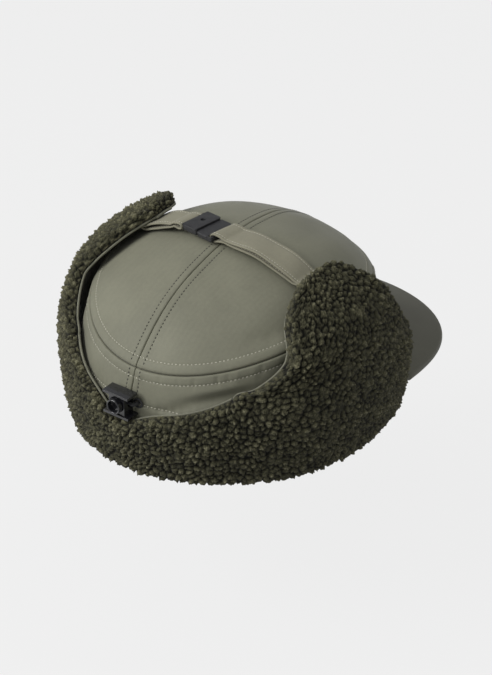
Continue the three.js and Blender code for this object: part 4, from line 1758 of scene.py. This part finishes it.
@dataclass
class Hardware(Part):
    """The buckle, the cord lock, its eyelets and the drawcord."""

    lock_x: float = 3.4
    lock_z: float = 46.5
    eyelets: tuple[float, float] = (-5.6, 12.4)
    cord_depth: float = -2.75
    cord_radius: float = 1.1

    def build(self) -> None:
        """Makes the buckle halves, the lock's pieces and the cord."""
        plate = self.refined("buckle_plate", "buckle_plate_half", Finish.MATTE, "left_strap", 0.5)
        self._lower_bar(plate)
        self.refined("buckle_catch", "buckle_catch_half", Finish.MATTE, "right_strap", 0.45)
        self._rails()
        self.refined("cord_lock_body", "lock_housing", Finish.GLOSS, "cord_lock", 0.7)
        self.refined("cord_lock_button", "lock_button_tube", Finish.GLOSS, "lock_button", 0.2)
        self.refined("drawcord_eyelet_right", "eyelet_right", Finish.MATTE, "crown", 0.2)
        self.refined("drawcord_eyelet_left", "eyelet_left", Finish.MATTE, "crown", 0.2)
        self.refined("cord_lock_spring", "lock_spring_wire", Finish.STEEL, "cord_lock", 0.01)
        self._drawcord()

    def _lower_bar(self, plate: bpy.types.Object) -> None:
        """Lowers the plate's outer bar, so that the strap dips over it.

        Args:
            plate: The buckle plate.
        """
        turn = math.radians(8.0)
        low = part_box("buckle_plate")[0].z
        for vertex in plate.data.vertices:
            x, y = vertex.co.x - 0.014, vertex.co.y - self.origin_y - 0.005
            along = x * math.cos(turn) - y * math.sin(turn)
            if along > 0.0136 and vertex.co.z > low + 0.0018:
                vertex.co.z = low + 0.0018 + (vertex.co.z - low - 0.0018) * 0.12

    def _rails(self) -> None:
        """A thin raised rail along the near edge of each buckle half."""
        turn = math.radians(8.0)
        spin = np.array([[math.cos(turn), math.sin(turn)], [-math.sin(turn), math.cos(turn)]])
        for name, body, start, end, z in (
            ("plate_rail", "left_strap", 0.9, 11.2, 118.3),
            ("catch_rail", "right_strap", -9.0, -0.9, 117.4),
        ):
            line = np.array([[x, 10.75] for x in np.linspace(start, end, 14)]) @ spin.T
            points = vectors(line[:, 0] + 14.0, line[:, 1] + 5.0, np.full(14, z))
            self.put(tube(points, 0.42, 10), name, Finish.MATTE, body)

    def _wall(self, x: float, distance: float) -> Array:
        """The back wall's outside at x, at the lock's height.

        Args:
            x: A place along X, in millimetres.
            distance: How far off, in millimetres.

        Returns:
            The point.
        """
        k = self.form.level(self.lock_z, np.array(BACK))
        wide = lerp(self.form.base[0], self.form.side, k)
        made = self.form.off(np.array(k), np.array(math.acos(x / wide)), distance)
        made[2] = self.lock_z
        return made

    def _inside(self, degrees: float) -> Array:
        """A place in the channel, at the lock's height."""
        k = self.form.level(self.lock_z, np.array(BACK))
        return self.form.off(np.array(k), np.array(math.radians(degrees)), self.cord_depth)

    def _drawcord(self) -> None:
        """The elastic cord: in its channel, out of one eyelet, through the lock and in at the other."""
        right, left = self.eyelets
        deep = self.cord_depth
        stops = [
            *(self._inside(a) for a in (168, 157, 146, 135, 124, 113, 104)),
            self._wall(right - 1.7, deep), self._wall(right - 0.1, -1.2), self._wall(right, 1),
            self._wall(right + 0.8, 3.2), self._wall(right + 2.6, 3.9), self._wall(left - 2.6, 3.9),
            self._wall(left - 0.8, 3.2), self._wall(left, 1), self._wall(left + 0.1, -1.2),
            self._wall(left + 1.7, deep),
            *(self._inside(a) for a in (76, 67, 56, 45, 34, 23, 12)),
        ]
        cord = tube(smooth_path(stops, 240), self.cord_radius, 12)
        self.put(cord, "drawcord_braid", Finish.CORD, "crown", ["drawcord"])


@dataclass(frozen=True)
class Studio:
    """The pale floor, soft lights and camera."""

    # each light: metres to the left, towards the camera and up; its side in metres; its power in watts
    key: tuple[float, ...] = (1.15, 0.45, 0.70, 0.9, 18.0)
    fill: tuple[float, ...] = (-1.1, 0.5, 0.5, 1.6, 1.2)
    top: tuple[float, ...] = (0.0, 0.0, 1.5, 1.4, 3.0)
    azimuth: float = 216.684
    elevation: float = 31.917
    distance: float = 1.30
    lens: float = 108.27
    across: float = 0.0084
    above: float = 0.0337
    floor_z: float = -0.125
    floor_glow: float = 0.82
    backdrop_glow: float = 0.84
    floor_half: float = 14.0
    backdrop_radius: float = 11.0

    def build(self, origin_y: float) -> None:
        """Sets the floor, the lights and the camera about the crown's centre.

        Args:
            origin_y: Where the hat's own frame lies along Y, in metres.
        """
        scene = bpy.context.scene
        scene.view_settings.view_transform = "Standard"
        self._floor()
        self._backdrop()
        self._world(scene)
        a, e = math.radians(self.azimuth), math.radians(self.elevation)
        back = Vector((math.sin(a) * math.cos(e), -math.cos(a) * math.cos(e), math.sin(e)))
        right = Vector((math.cos(a), math.sin(a), 0.0))
        up = back.cross(right)
        aim = Vector((0, origin_y, 0)) + right * self.across + up * self.above
        data = bpy.data.cameras.new("camera")
        data.lens, data.sensor_width = self.lens, 36.0
        camera = bpy.data.objects.new("camera", data)
        camera.location = aim + back * self.distance
        camera.rotation_euler = back.to_track_quat("Z", "Y").to_euler()
        scene.collection.objects.link(camera)
        scene.camera = camera
        lights = {"key": self.key, "fill": self.fill, "top": self.top}
        for name, (left, near, high, size, power) in lights.items():
            self._light(name, aim - right * left + back * near + Vector((0, 0, high)), aim, size, power)

    def _backdrop(self) -> None:
        """A pale dome far round the hat, seen only directly."""
        paint = Paint("studio_backdrop")
        paint.surface(Base_Color=(0.0, 0.0, 0.0), Specular_IOR_Level=0.0, Emission_Color=(1.0, 1.0, 1.0))
        paint.surface(Emission_Strength=self.backdrop_glow)
        work = bmesh.new()
        bmesh.ops.create_uvsphere(work, u_segments=48, v_segments=24, radius=self.backdrop_radius)
        mesh = bpy.data.meshes.new("backdrop")
        work.to_mesh(mesh)
        work.free()
        mesh.materials.append(paint.material)
        backdrop = bpy.data.objects.new("backdrop", mesh)
        for rays in ("diffuse", "glossy", "transmission", "shadow", "volume_scatter"):
            setattr(backdrop, f"visible_{rays}", False)
        bpy.context.scene.collection.objects.link(backdrop)

    def _floor(self) -> None:
        """A wide pale floor that glows a little, so that it stays even."""
        paint = Paint("studio_floor")
        paint.surface(Base_Color=(0.05, 0.05, 0.05), Roughness=0.9, Emission_Color=(1.0, 1.0, 1.0))
        paint.surface(Emission_Strength=self.floor_glow, Specular_IOR_Level=0.0)
        work = bmesh.new()
        bmesh.ops.create_grid(work, x_segments=4, y_segments=4, size=self.floor_half)
        mesh = bpy.data.meshes.new("floor")
        work.to_mesh(mesh)
        work.free()
        mesh.materials.append(paint.material)
        floor = bpy.data.objects.new("floor", mesh)
        floor.location = (0, 0, self.floor_z)
        floor.visible_diffuse = False
        bpy.context.scene.collection.objects.link(floor)

    @staticmethod
    def _world(scene: bpy.types.Scene) -> None:
        """An even pale sky.

        Args:
            scene: The Blender scene.
        """
        world = bpy.data.worlds.new("studio")
        world.use_nodes = True
        sky = world.node_tree.nodes["Background"]
        sky.inputs["Color"].default_value = (0.86, 0.87, 0.88, 1.0)
        sky.inputs["Strength"].default_value = 0.42
        scene.world = world

    @staticmethod
    def _light(name: str, place: Vector, aim: Vector, size: float, power: float) -> None:
        """A square soft light that faces the hat.

        Args:
            name: Its name.
            place: Where it stands.
            aim: What it faces.
            size: Its side in metres.
            power: Its power in watts.
        """
        data = bpy.data.lights.new(name, "AREA")
        data.size, data.energy = size, power
        light = bpy.data.objects.new(name, data)
        light.location = place
        light.rotation_euler = (place - aim).to_track_quat("Z", "Y").to_euler()
        bpy.context.scene.collection.objects.link(light)


def main() -> None:
    """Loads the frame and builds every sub-assembly in order."""
    logging.basicConfig(level=logging.INFO, format="%(message)s")
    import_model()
    low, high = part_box("band_hem")
    form = CrownForm()
    origin_y = (low.y + high.y) / 2 - form.base[2] * MM
    shared = (form, CrownCloth(form), origin_y)
    Studio().build(origin_y)
    for assembly in (Crown(*shared), Flaps(*shared), Visor(*shared), Straps(*shared), Hardware(*shared)):
        assembly.build()
        LOG.info("%s is done", type(assembly).__name__)


if __name__ == "__main__":
    main()
